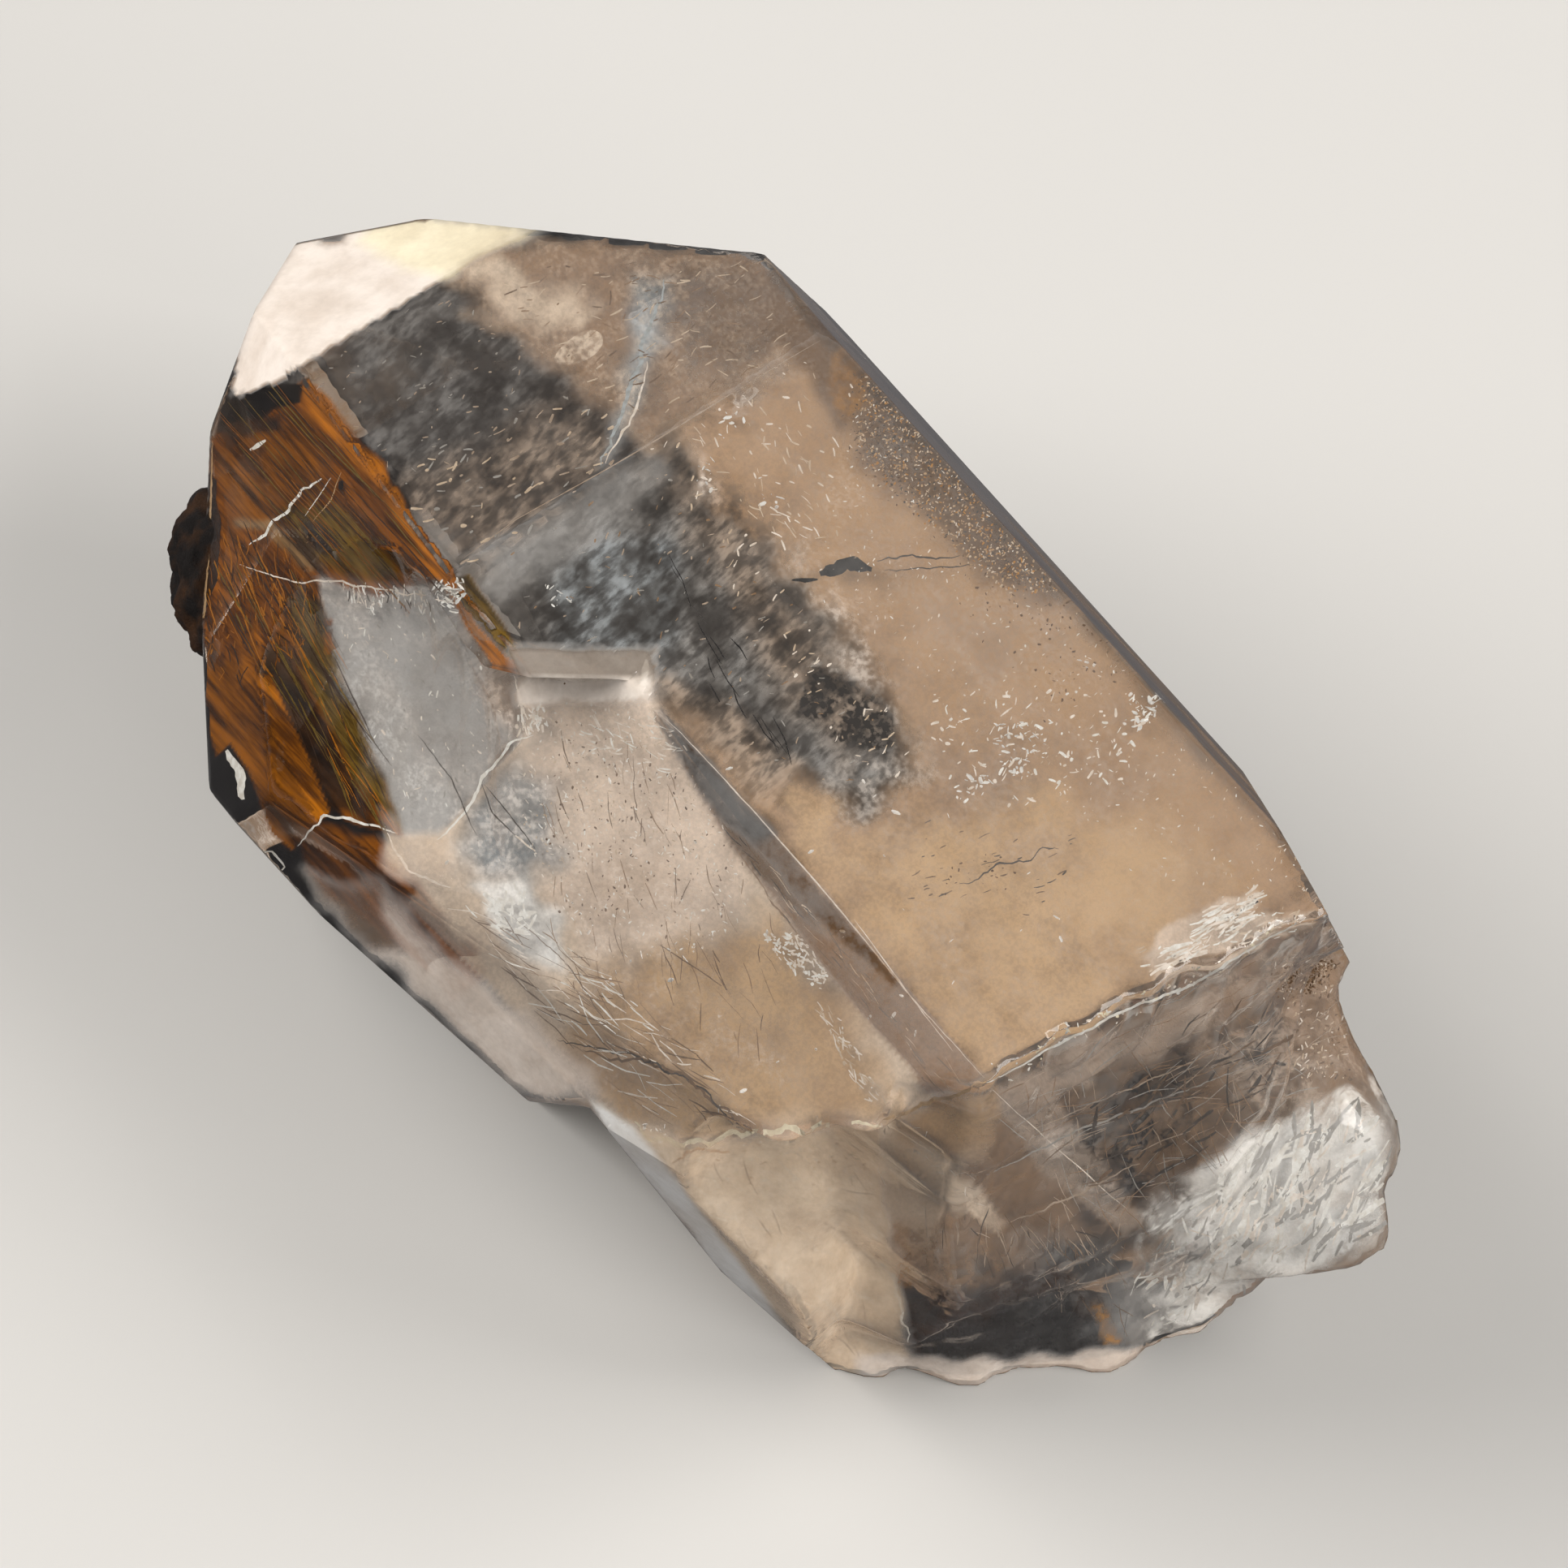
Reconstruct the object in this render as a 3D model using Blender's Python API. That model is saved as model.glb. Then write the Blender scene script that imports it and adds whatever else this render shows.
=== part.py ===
"""Quartz point: one natural six-sided crystal, lying on a prism face.

The crystal's length runs along X, with its tip at -X and its broken root at +X.
Sizes are in millimetres and degrees, and the mesh is made in metres. The faces
have a mineralogist's names: m for the prism, r and z for the point. A face's
turn is its angle about the length, from +Z towards +Y; its tilt leans it
towards the tip.
"""

import math

import bmesh
import bpy
from mathutils import Matrix, Vector, noise

MM = 0.001
BLANK_HALF = 45.0

# Prism faces: turn, distance from the crystal's axis.
PRISM_FACES = {
    "m_top": (0.0, 15.0),
    "m_back_upper": (60.0, 15.0),
    "m_back_lower": (120.0, 15.0),
    "m_rest": (180.0, 15.0),
    "m_front_lower": (240.0, 15.0),
    "m_front": (300.0, 17.1),
}

# Point faces: the prism face below, where the two meet along X, and the lean
# from one to the other.
POINT_FACES = {
    "r_top": ("m_top", -7.15, 37.3),
    "z_back_upper": ("m_back_upper", -12.9, 36.5),
    "r_back_lower": ("m_back_lower", -11.9, 38.2),
    "z_rest": ("m_rest", -14.0, 38.2),
    "r_front_lower": ("m_front_lower", -11.9, 38.2),
    "z_front": ("m_front", -6.75, 38.2),
}

# Worn and broken flats: turn, tilt, distance from the middle of the axis.
WORN_FLATS = {
    "tip_break": (-104.2, 61.7, 23.6),
    "top_shoulder": (34.2, 18.7, 18.45),
    "back_taper": (65.8, -12.2, 18.0),
    "front_edge": (-90.0, -6.0, 14.85),
    "front_taper": (-120.0, -6.0, 14.4),
    "front_shoulder": (-75.7, 29.7, 17.75),
}

# The lower front face grew in a step below the upper one, down to a ledge, and
# its top edge is worn to a long narrow flat that widens towards the root.
STEP_FACE = (-60.0, 2.6, 14.45)
STEP_LEDGE = (-150.0, -34.7, -7.1)
EDGE_FLAT = (-30.0, 0.3, 17.05)
EDGE_FLAT_START = (0.0, -90.0, 0.8)

# A slab is missing beside the root: two flats, both ending at one notch.
SLAB_FLATS = {
    "slab_under": (-116.9, 3.4, 11.9),
    "slab_side": (-108.5, -11.9, 15.0),
}
SLAB_NOTCH = (-133.2, -40.8, 13.55)

# The broken root: (y, z, x) heights of its outer part and of its lower front
# part, which a ragged step parts from it.
ROOT_OUTER = (
    (-8.2, 15.0, 22.0),
    (0.0, 15.0, 22.7),
    (4.8, 15.0, 23.2),
    (7.5, 15.0, 24.1),
    (-4.8, 6.4, 22.2),
    (0.0, 0.0, 23.4),
    (6.4, 0.0, 24.8),
    (12.2, 8.2, 22.6),
    (15.8, 1.2, 19.6),
    (16.3, -2.4, 20.2),
    (13.9, -5.9, 26.6),
    (12.4, -8.5, 28.5),
    (8.6, -15.0, 25.4),
    (4.8, -15.0, 24.6),
    (-0.5, -15.0, 22.3),
    (-4.7, -15.0, 19.7),
)
ROOT_FRONT = (
    (-15.1, 3.8, 11.8),
    (-14.4, 5.1, 14.1),
    (-13.3, 1.9, 13.6),
    (-12.1, 9.1, 17.8),
    (-10.7, 11.4, 20.0),
    (-7.0, -1.8, 17.8),
    (-9.2, -7.0, 18.9),
    (-6.8, -15.0, 18.2),
)
ROOT_STEP_Y = -7.3
ROOT_STEP_SLOPE = -0.15
ROOT_STEP_HALF = 1.0
ROOT_STEP_SWING = 1.1
ROOT_STEP_PER_MM = 0.28
ROOT_HALF = 19.0
ROOT_CELLS = 56
ROOT_RELIEF = 0.7
ROOT_LUMP_PER_MM = 0.2
ROOT_RIPPLE = 0.16
ROOT_RIPPLE_PITCH = 2.6
ROOT_RIPPLE_REACH = 17.0
ROOT_BLOW = (-3.0, 13.0)

# Shell-shaped chip across the front shoulder: its middle, the half sizes of the
# rounded bite along the shoulder, across it and into it, and its depth.
CHIP_MIDDLE = (-5.4, -13.9, 7.5)
CHIP_HALVES = (7.6, 16.5, 7.0)
CHIP_DEPTH = 3.2
CHIP_OUTWARD = (-66.0, 15.0)
CHIP_RIPPLE = 0.08
CHIP_RIPPLE_PITCH = 2.2

# Dark iron crust grown on the shoulder's lower edge.
CRUST_MIDDLE = (-19.3, -8.6, -3.5)
CRUST_HALVES = (3.8, 1.6, 2.0)
CRUST_TURN = -42.0
CRUST_RELIEF = 0.35

QUARTZ_COLOUR = (0.86, 0.80, 0.72, 1.0)
QUARTZ_IOR = 1.544
QUARTZ_ROUGHNESS = 0.06


def clear_scene():
    """Remove every object, so that the script can be run again."""
    for item in list(bpy.data.objects):
        bpy.data.objects.remove(item, do_unlink=True)


def face_normal(turn, tilt):
    """Return the outward unit normal of a face with this turn and tilt."""
    around = math.radians(turn)
    lean = math.radians(tilt)
    return Vector((
        -math.sin(lean),
        math.cos(lean) * math.sin(around),
        math.cos(lean) * math.cos(around),
    ))


def blank():
    """Return a closed block, far larger than the crystal."""
    mesh = bmesh.new()
    bmesh.ops.create_cube(mesh, size=2.0 * BLANK_HALF)
    return mesh


def cut_flat(mesh, normal, distance):
    """Cut away what lies beyond a plane, and close the cut."""
    parts = mesh.verts[:] + mesh.edges[:] + mesh.faces[:]
    cut = bmesh.ops.bisect_plane(
        mesh, geom=parts, plane_co=normal * distance, plane_no=normal,
        clear_outer=True, dist=1e-5,
    )
    rim = [part for part in cut["geom_cut"] if isinstance(part, bmesh.types.BMEdge)]
    if rim:
        bmesh.ops.contextual_create(mesh, geom=rim)


def new_object(name, mesh):
    """Turn a mesh in millimetres into an object in metres, faces outward."""
    mesh.normal_update()
    bmesh.ops.recalc_face_normals(mesh, faces=mesh.faces[:])
    bmesh.ops.scale(mesh, vec=Vector((MM, MM, MM)), verts=mesh.verts[:])
    data = bpy.data.meshes.new(name)
    mesh.to_mesh(data)
    mesh.free()
    item = bpy.data.objects.new(name, data)
    bpy.context.collection.objects.link(item)
    return item


def crystal_body():
    """Cut the block down to the prism, the point and the worn flats."""
    mesh = blank()
    for turn, distance in PRISM_FACES.values():
        cut_flat(mesh, face_normal(turn, 0.0), distance)
    for prism_face, meeting_x, slope in POINT_FACES.values():
        turn, distance = PRISM_FACES[prism_face]
        meeting = face_normal(turn, 0.0) * distance + Vector((meeting_x, 0.0, 0.0))
        normal = face_normal(turn, slope)
        cut_flat(mesh, normal, normal.dot(meeting))
    for turn, tilt, distance in WORN_FLATS.values():
        cut_flat(mesh, face_normal(turn, tilt), distance)
    return new_object("quartz_point", mesh)


def wedge_cutter(name, *flats):
    """Make a block of all that lies beyond every one of the given flats."""
    mesh = blank()
    for turn, tilt, distance in flats:
        cut_flat(mesh, -face_normal(turn, tilt), -distance)
    return new_object(name, mesh)


def blended_height(points, y, z):
    """Blend (y, z, x) heights, each counting more the nearer it is."""
    total = 0.0
    weights = 0.0
    for point_y, point_z, height in points:
        gap = (point_y - y) ** 2 + (point_z - z) ** 2
        weight = 1.0 / (gap + 1.5) ** 1.6
        total += weight * height
        weights += weight
    return total / weights


def smooth_step(value):
    """Ease from 0 to 1 as the value goes from 0 to 1."""
    value = min(max(value, 0.0), 1.0)
    return value * value * (3.0 - 2.0 * value)


def root_ripple(y, z):
    """Return the shell ripple that spreads from where the root was struck."""
    blow = math.hypot(y - ROOT_BLOW[0], z - ROOT_BLOW[1])
    bent = blow + noise.noise(Vector((y * 0.15, z * 0.15, 1.7)))
    fade = 1.0 - smooth_step(blow / ROOT_RIPPLE_REACH)
    return ROOT_RIPPLE * fade * math.sin(2.0 * math.pi * bent / ROOT_RIPPLE_PITCH)


def root_height(y, z):
    """Return the broken root's x at a place across the crystal."""
    ragged = ROOT_STEP_SWING * noise.noise(Vector((z * ROOT_STEP_PER_MM, 3.1, 0.0)))
    step_y = ROOT_STEP_Y + ROOT_STEP_SLOPE * z + ragged
    share = smooth_step((y - step_y) / (2.0 * ROOT_STEP_HALF) + 0.5)
    front = blended_height(ROOT_FRONT, y, z)
    outer = blended_height(ROOT_OUTER, y, z)
    lumps = noise.fractal(Vector((y, z, 7.0)) * ROOT_LUMP_PER_MM, 0.9, 2.1, 4)
    height = front + (outer - front) * share
    return height + ROOT_RELIEF * lumps * (0.45 + 0.55 * share) + root_ripple(y, z) * share


def root_cutter():
    """Make the block beyond the broken root, its near side rough."""
    mesh = bmesh.new()
    pitch = 2.0 * ROOT_HALF / ROOT_CELLS
    rows = []
    for row in range(ROOT_CELLS + 1):
        z = -ROOT_HALF + row * pitch
        line = []
        for column in range(ROOT_CELLS + 1):
            y = -ROOT_HALF + column * pitch
            line.append(mesh.verts.new((root_height(y, z), y, z)))
        rows.append(line)
    for low, high in zip(rows, rows[1:]):
        for index in range(ROOT_CELLS):
            mesh.faces.new((low[index], low[index + 1], high[index + 1], high[index]))
    near_side = mesh.faces[:]
    grown = bmesh.ops.extrude_face_region(mesh, geom=near_side, use_keep_orig=True)
    far_corners = [part for part in grown["geom"] if isinstance(part, bmesh.types.BMVert)]
    for corner in far_corners:
        corner.co.x = BLANK_HALF
    return new_object("root_cutter", mesh)


def rounded_lump(name, halves, frame, shape):
    """Make an uneven ellipsoid: shape gives each direction's change in size."""
    mesh = bmesh.new()
    bmesh.ops.create_icosphere(mesh, subdivisions=5, radius=1.0)
    for corner in mesh.verts:
        way = corner.co.normalized()
        grown = [half * part for half, part in zip(halves, way)]
        corner.co = frame @ (Vector(grown) + way * shape(way))
    return new_object(name, mesh)


def frame_at(middle, outward, along):
    """Return a frame whose z points outward and whose x lies along."""
    side = outward.cross(along).normalized()
    forward = side.cross(outward).normalized()
    turned = Matrix((forward, side, outward.normalized())).transposed().to_4x4()
    return Matrix.Translation(middle) @ turned


def chip_cutter():
    """Make the rounded bite that leaves the shell-shaped chip."""
    outward = face_normal(*CHIP_OUTWARD)
    across = face_normal(-60.0, 0.0).cross(Vector((1.0, 0.0, 0.0)))
    rise = CHIP_HALVES[2] - CHIP_DEPTH
    frame = frame_at(Vector(CHIP_MIDDLE) + outward * rise, outward, across)

    def ripple(way):
        reach = math.hypot(way.x * CHIP_HALVES[0] - 4.0, way.y * CHIP_HALVES[1] + 6.0)
        return CHIP_RIPPLE * math.sin(2.0 * math.pi * reach / CHIP_RIPPLE_PITCH)

    return rounded_lump("chip_cutter", CHIP_HALVES, frame, ripple)


def crust():
    """Make the lump of dark iron crust."""
    turned = Matrix.Rotation(math.radians(CRUST_TURN), 4, "Z")
    frame = Matrix.Translation(CRUST_MIDDLE) @ turned

    def lumps(way):
        return CRUST_RELIEF * noise.fractal(way * 2.2, 0.8, 2.0, 3)

    mesh_object = rounded_lump("crust", CRUST_HALVES, frame, lumps)
    thin = mesh_object.modifiers.new("fewer_faces", "DECIMATE")
    thin.ratio = 0.03
    return mesh_object


def combine(target, other, operation):
    """Cut or join another closed shape, and hide it from the build."""
    change = target.modifiers.new(other.name, "BOOLEAN")
    change.operation = operation
    change.object = other
    change.solver = "EXACT"
    other.hide_render = True
    other.display_type = "WIRE"


def quartz_material():
    """Return clear quartz: a plain see-through stone."""
    material = bpy.data.materials.new("quartz")
    material.use_nodes = True
    shader = material.node_tree.nodes["Principled BSDF"]
    shader.inputs["Base Color"].default_value = QUARTZ_COLOUR
    shader.inputs["Metallic"].default_value = 0.0
    shader.inputs["Roughness"].default_value = QUARTZ_ROUGHNESS
    shader.inputs["IOR"].default_value = QUARTZ_IOR
    shader.inputs["Transmission Weight"].default_value = 1.0
    return material


def settle_on_origin(crystal):
    """Fix the cuts, and put the middle of the underside on the origin."""
    evaluated = crystal.evaluated_get(bpy.context.evaluated_depsgraph_get())
    shaped = bpy.data.meshes.new_from_object(evaluated)
    crystal.modifiers.clear()
    crystal.data = shaped
    low = Vector([min(corner.co[axis] for corner in shaped.vertices) for axis in range(3)])
    high = Vector([max(corner.co[axis] for corner in shaped.vertices) for axis in range(3)])
    middle = (low + high) / 2.0
    shaped.transform(Matrix.Translation((-middle.x, -middle.y, -low.z)))


def build():
    """Build the crystal and give it its material."""
    clear_scene()
    crystal = crystal_body()
    combine(crystal, crust(), "UNION")
    combine(crystal, wedge_cutter("step_cutter", STEP_FACE, STEP_LEDGE), "DIFFERENCE")
    combine(crystal, wedge_cutter("edge_cutter", EDGE_FLAT, EDGE_FLAT_START), "DIFFERENCE")
    for name, flat in SLAB_FLATS.items():
        combine(crystal, wedge_cutter(name, flat, SLAB_NOTCH), "DIFFERENCE")
    combine(crystal, chip_cutter(), "DIFFERENCE")
    combine(crystal, root_cutter(), "DIFFERENCE")
    settle_on_origin(crystal)
    crystal.data.materials.clear()
    crystal.data.materials.append(quartz_material())


build()
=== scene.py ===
"""Dresses the quartz point: the crystal, what grew in it, and its studio.

Places are in millimetres in the crystal's own frame until a piece is settled:
X runs along the crystal from its point to its root, and the origin is on its
axis. A face's turn is its angle about the length, from +Z towards +Y, and its
tilt leans it towards the point. A spot is a place on the sight plane, which is
square to the camera: how far right of its middle it is, and how far above.
"""

import logging
import math
import random
from dataclasses import dataclass, field
from enum import Enum
from typing import Callable, Iterable

import bmesh
import bpy
import numpy as np
from mathutils import Matrix, Vector, noise
from mathutils.bvhtree import BVHTree


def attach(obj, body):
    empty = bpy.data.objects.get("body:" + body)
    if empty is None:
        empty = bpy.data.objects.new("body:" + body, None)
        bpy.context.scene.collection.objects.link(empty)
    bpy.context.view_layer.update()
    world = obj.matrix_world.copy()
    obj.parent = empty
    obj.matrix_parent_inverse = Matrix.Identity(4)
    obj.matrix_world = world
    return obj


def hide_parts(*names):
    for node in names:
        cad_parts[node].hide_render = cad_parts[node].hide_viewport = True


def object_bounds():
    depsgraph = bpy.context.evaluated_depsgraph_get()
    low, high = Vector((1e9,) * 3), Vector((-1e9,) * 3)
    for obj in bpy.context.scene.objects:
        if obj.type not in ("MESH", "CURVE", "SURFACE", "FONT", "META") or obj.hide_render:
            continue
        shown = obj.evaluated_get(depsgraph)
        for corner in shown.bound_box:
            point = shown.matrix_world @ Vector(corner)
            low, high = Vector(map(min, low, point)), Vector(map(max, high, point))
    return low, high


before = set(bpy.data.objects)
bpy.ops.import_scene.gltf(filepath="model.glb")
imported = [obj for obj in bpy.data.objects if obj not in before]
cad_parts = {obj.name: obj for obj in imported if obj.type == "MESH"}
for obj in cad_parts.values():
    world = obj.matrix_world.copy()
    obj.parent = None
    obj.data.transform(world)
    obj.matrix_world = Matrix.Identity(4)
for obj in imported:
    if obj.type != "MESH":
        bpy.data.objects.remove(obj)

CAD_LOW, CAD_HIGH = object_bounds()
MM = 0.001
BLANK_HALF = 45.0
CUT_GAP = 1e-5
WELD_GAP = 1e-3
LEAST_COVER = 1e-4
BODY = "root"
NODE = "quartz_point"
EVEN = (1.0, 1.0, 1.0)

Array = np.ndarray
Item = bpy.types.Object
Node = bpy.types.Node
Socket = bpy.types.NodeSocket
Pair = tuple[float, float]
Triple = tuple[float, float, float]
Colour = tuple[float, float, float, float]
Path = tuple[Pair, ...]
Fed = dict[str | int, object]

log = logging.getLogger(NODE)


def linear(red: int, green: int, blue: int) -> Colour:
    """Turn a colour of 0 to 255 a channel into the linear one that shaders take.

    Args:
        red: The red channel.
        green: The green channel.
        blue: The blue channel.

    Returns:
        Linear red, green and blue, with an alpha of 1.
    """
    channels = [part / 255.0 for part in (red, green, blue)]
    bent = [part / 12.92 if part <= 0.04045 else ((part + 0.055) / 1.055) ** 2.4 for part in channels]
    return (bent[0], bent[1], bent[2], 1.0)


def smooth_step(value: Array | float) -> Array | float:
    """Ease from 0 to 1 as the value goes from 0 to 1."""
    value = np.clip(value, 0.0, 1.0)
    return value * value * (3.0 - 2.0 * value)


def made(kind: type, *rows: tuple) -> tuple:
    """Make one of a kind from each row of its values."""
    return tuple(kind(*row) for row in rows)


@dataclass(frozen=True)
class Face:
    """A flat face: which way it looks and how far it stands from the middle of the axis."""

    turn: float
    tilt: float
    reach: float

    def normal(self) -> Vector:
        """Return the face's outward unit normal."""
        around = math.radians(self.turn)
        lean = math.radians(self.tilt)
        return Vector((
            -math.sin(lean),
            math.cos(lean) * math.sin(around),
            math.cos(lean) * math.cos(around),
        ))


def point_face(prism: Face, meeting_x: float, slope: float) -> Face:
    """Return the point face that leans from a prism face, given where the two meet along X."""
    meeting = prism.normal() * prism.reach + Vector((meeting_x, 0.0, 0.0))
    leaning = Face(prism.turn, slope, 0.0)
    return Face(prism.turn, slope, leaning.normal().dot(meeting))


class Faces(Enum):
    """The crystal's flat faces in the order they are cut, in a mineralogist's letters."""

    M_TOP = Face(0.0, 0.0, 15.0)
    M_BACK_UPPER = Face(60.0, 0.0, 15.0)
    M_BACK_LOWER = Face(120.0, 0.0, 15.0)
    M_REST = Face(180.0, 0.0, 15.0)
    M_FRONT_LOWER = Face(240.0, 0.0, 15.0)
    M_FRONT = Face(300.0, 0.0, 17.1)
    R_TOP = point_face(M_TOP, -7.15, 37.3)
    Z_BACK_UPPER = point_face(M_BACK_UPPER, -12.9, 36.5)
    R_BACK_LOWER = point_face(M_BACK_LOWER, -11.9, 38.2)
    Z_REST = point_face(M_REST, -14.0, 38.2)
    R_FRONT_LOWER = point_face(M_FRONT_LOWER, -11.9, 38.2)
    Z_FRONT = point_face(M_FRONT, -6.75, 38.2)
    TIP_BREAK = Face(-104.2, 61.7, 23.6)
    TOP_SHOULDER = Face(34.2, 18.7, 18.45)
    BACK_TAPER = Face(65.8, -12.2, 18.0)
    FRONT_EDGE = Face(-90.0, -6.0, 14.85)
    FRONT_TAPER = Face(-120.0, -6.0, 14.4)
    FRONT_SHOULDER = Face(-75.7, 29.7, 17.75)


class Notches(Enum):
    """The notches cut after the faces: what lies beyond both of a pair's flats goes."""

    STEP = (Face(-60.0, 2.6, 14.45), Face(-150.0, -34.7, -7.1))
    EDGE = (Face(-30.0, 0.3, 17.05), Face(0.0, -90.0, 0.8))
    SLAB_UNDER = (Face(-116.9, 3.4, 11.9), Face(-133.2, -40.8, 13.55))
    SLAB_SIDE = (Face(-108.5, -11.9, 15.0), Face(-133.2, -40.8, 13.55))


@dataclass
class RootBreak:
    """The broken root, as a height along X at each place across the crystal."""

    outer: tuple[Triple, ...] = (
        (-8.2, 15.0, 22.0), (0.0, 15.0, 22.7), (4.8, 15.0, 23.2), (7.5, 15.0, 24.1),
        (-4.8, 6.4, 22.2), (0.0, 0.0, 23.4), (6.4, 0.0, 24.8), (12.2, 8.2, 22.6),
        (15.8, 1.2, 19.6), (16.3, -2.4, 20.2), (13.9, -5.9, 26.6), (12.4, -8.5, 28.5),
        (8.6, -15.0, 25.4), (4.8, -15.0, 24.6), (-0.5, -15.0, 22.3), (-4.7, -15.0, 19.7),
    )
    front: tuple[Triple, ...] = (
        (-15.1, 3.8, 11.8), (-14.4, 5.1, 14.1), (-13.3, 1.9, 13.6), (-12.1, 9.1, 17.8),
        (-10.7, 11.4, 20.0), (-7.0, -1.8, 17.8), (-9.2, -7.0, 18.9), (-6.8, -15.0, 18.2),
    )
    step_y: float = -7.3
    step_slope: float = -0.15
    step_half: float = 1.0
    step_swing: float = 1.1
    step_per_mm: float = 0.28
    step_seed: float = 3.1
    half: float = 19.0
    cells: int = 120
    evenness: float = 1.5
    falloff: float = 1.6
    relief: float = 0.7
    front_relief: float = 0.45
    lumps_per_mm: float = 0.2
    lump_seed: float = 7.0
    lump_fade: float = 0.9
    lump_step: float = 2.1
    lump_octaves: int = 4
    ripple: float = 0.16
    ripple_pitch: float = 2.6
    ripple_reach: float = 17.0
    ripple_bends_per_mm: float = 0.15
    ripple_seed: float = 1.7
    blow: Pair = (-3.0, 13.0)

    def blended(self, points: Iterable[Triple], y: float, z: float) -> float:
        """Blend (y, z, x) heights, each counting more the nearer it is.

        Args:
            points: The (y, z, x) heights.
            y: Where to blend, across the crystal.
            z: Where to blend, up it.

        Returns:
            The x there.
        """
        total = 0.0
        weights = 0.0
        for point_y, point_z, height in points:
            gap = (point_y - y) ** 2 + (point_z - z) ** 2
            weight = 1.0 / (gap + self.evenness) ** self.falloff
            total += weight * height
            weights += weight
        return total / weights

    def share_outer(self, y: float, z: float) -> float:
        """Return 0 on the root's lower front part, 1 on its outer part."""
        ragged = self.step_swing * noise.noise(Vector((z * self.step_per_mm, self.step_seed, 0.0)))
        step_y = self.step_y + self.step_slope * z + ragged
        return float(smooth_step((y - step_y) / (2.0 * self.step_half) + 0.5))

    def shell_ripple(self, y: float, z: float) -> float:
        """Return the shell ripple that spreads from where the root was struck.

        Args:
            y: The place across the crystal.
            z: The place up it.

        Returns:
            The ripple's height.
        """
        blow = math.hypot(y - self.blow[0], z - self.blow[1])
        bend = self.ripple_bends_per_mm
        bent = blow + noise.noise(Vector((y * bend, z * bend, self.ripple_seed)))
        fade = 1.0 - float(smooth_step(blow / self.ripple_reach))
        return self.ripple * fade * math.sin(2.0 * math.pi * bent / self.ripple_pitch)

    def height(self, y: float, z: float) -> float:
        """Return the root's x at a place across the crystal.

        Args:
            y: The place across the crystal.
            z: The place up it.

        Returns:
            The root's x there.
        """
        share = self.share_outer(y, z)
        front = self.blended(self.front, y, z)
        outer = self.blended(self.outer, y, z)
        place = Vector((y, z, self.lump_seed)) * self.lumps_per_mm
        lumps = noise.fractal(place, self.lump_fade, self.lump_step, self.lump_octaves)
        height = front + (outer - front) * share
        relief = self.relief * lumps * (self.front_relief + (1.0 - self.front_relief) * share)
        return height + relief + self.shell_ripple(y, z) * share

    def cutter(self) -> Item:
        """Make the block beyond the root, its near side rough."""
        mesh = bmesh.new()
        pitch = 2.0 * self.half / self.cells
        rows = []
        for row in range(self.cells + 1):
            z = -self.half + row * pitch
            across = [-self.half + column * pitch for column in range(self.cells + 1)]
            rows.append([mesh.verts.new((self.height(y, z), y, z)) for y in across])
        for low, high in zip(rows, rows[1:]):
            for index in range(self.cells):
                mesh.faces.new((low[index], low[index + 1], high[index + 1], high[index]))
        grown = bmesh.ops.extrude_face_region(mesh, geom=mesh.faces[:], use_keep_orig=True)
        for part in grown["geom"]:
            if isinstance(part, bmesh.types.BMVert):
                part.co.x = BLANK_HALF
        return new_object("root_cutter", mesh)


def new_object(name: str, mesh: bmesh.types.BMesh) -> Item:
    """Turn a closed mesh into an object with its faces outward.

    Args:
        name: The object's name.
        mesh: The mesh, which is used up.

    Returns:
        The object, still in millimetres.
    """
    mesh.normal_update()
    bmesh.ops.recalc_face_normals(mesh, faces=mesh.faces[:])
    data = bpy.data.meshes.new(name)
    mesh.to_mesh(data)
    mesh.free()
    return place_object(name, data)


def place_object(name: str, data: bpy.types.ID | None) -> Item:
    """Make an object of its data, and put it in the scene."""
    item = bpy.data.objects.new(name, data)
    bpy.context.collection.objects.link(item)
    return item


def blank() -> bmesh.types.BMesh:
    """Return a closed block, far larger than the crystal."""
    mesh = bmesh.new()
    bmesh.ops.create_cube(mesh, size=2.0 * BLANK_HALF)
    return mesh


def cut_flat(mesh: bmesh.types.BMesh, normal: Vector, distance: float) -> None:
    """Cut away what lies beyond a plane, and close the cut.

    Args:
        mesh: The closed mesh to cut.
        normal: The plane's unit normal.
        distance: How far along it the plane stands from the origin.
    """
    parts = mesh.verts[:] + mesh.edges[:] + mesh.faces[:]
    cut = bmesh.ops.bisect_plane(
        mesh, geom=parts, plane_co=normal * distance, plane_no=normal, clear_outer=True, dist=CUT_GAP,
    )
    rim = [part for part in cut["geom_cut"] if isinstance(part, bmesh.types.BMEdge)]
    if rim:
        bmesh.ops.contextual_create(mesh, geom=rim)


def wedge_cutter(name: str, *faces: Face) -> Item:
    """Make a block of all that lies beyond every one of the given faces."""
    mesh = blank()
    for face in faces:
        cut_flat(mesh, -face.normal(), -face.reach)
    return new_object(name, mesh)


def cut_away(target: Item, cutter: Item) -> None:
    """Cut a closed shape away from the target, and drop the cutter.

    Args:
        target: What is cut.
        cutter: The closed shape.
    """
    change = target.modifiers.new(cutter.name, "BOOLEAN")
    change.operation = "DIFFERENCE"
    change.object = cutter
    change.solver = "EXACT"
    bake_modifiers(target)
    bpy.data.objects.remove(cutter, do_unlink=True)


def bake_modifiers(item: Item) -> None:
    """Swap the object's mesh for what its modifiers make of it, and take them off."""
    evaluated = item.evaluated_get(bpy.context.evaluated_depsgraph_get())
    shaped = bpy.data.meshes.new_from_object(evaluated)
    item.modifiers.clear()
    item.data = shaped


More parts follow.
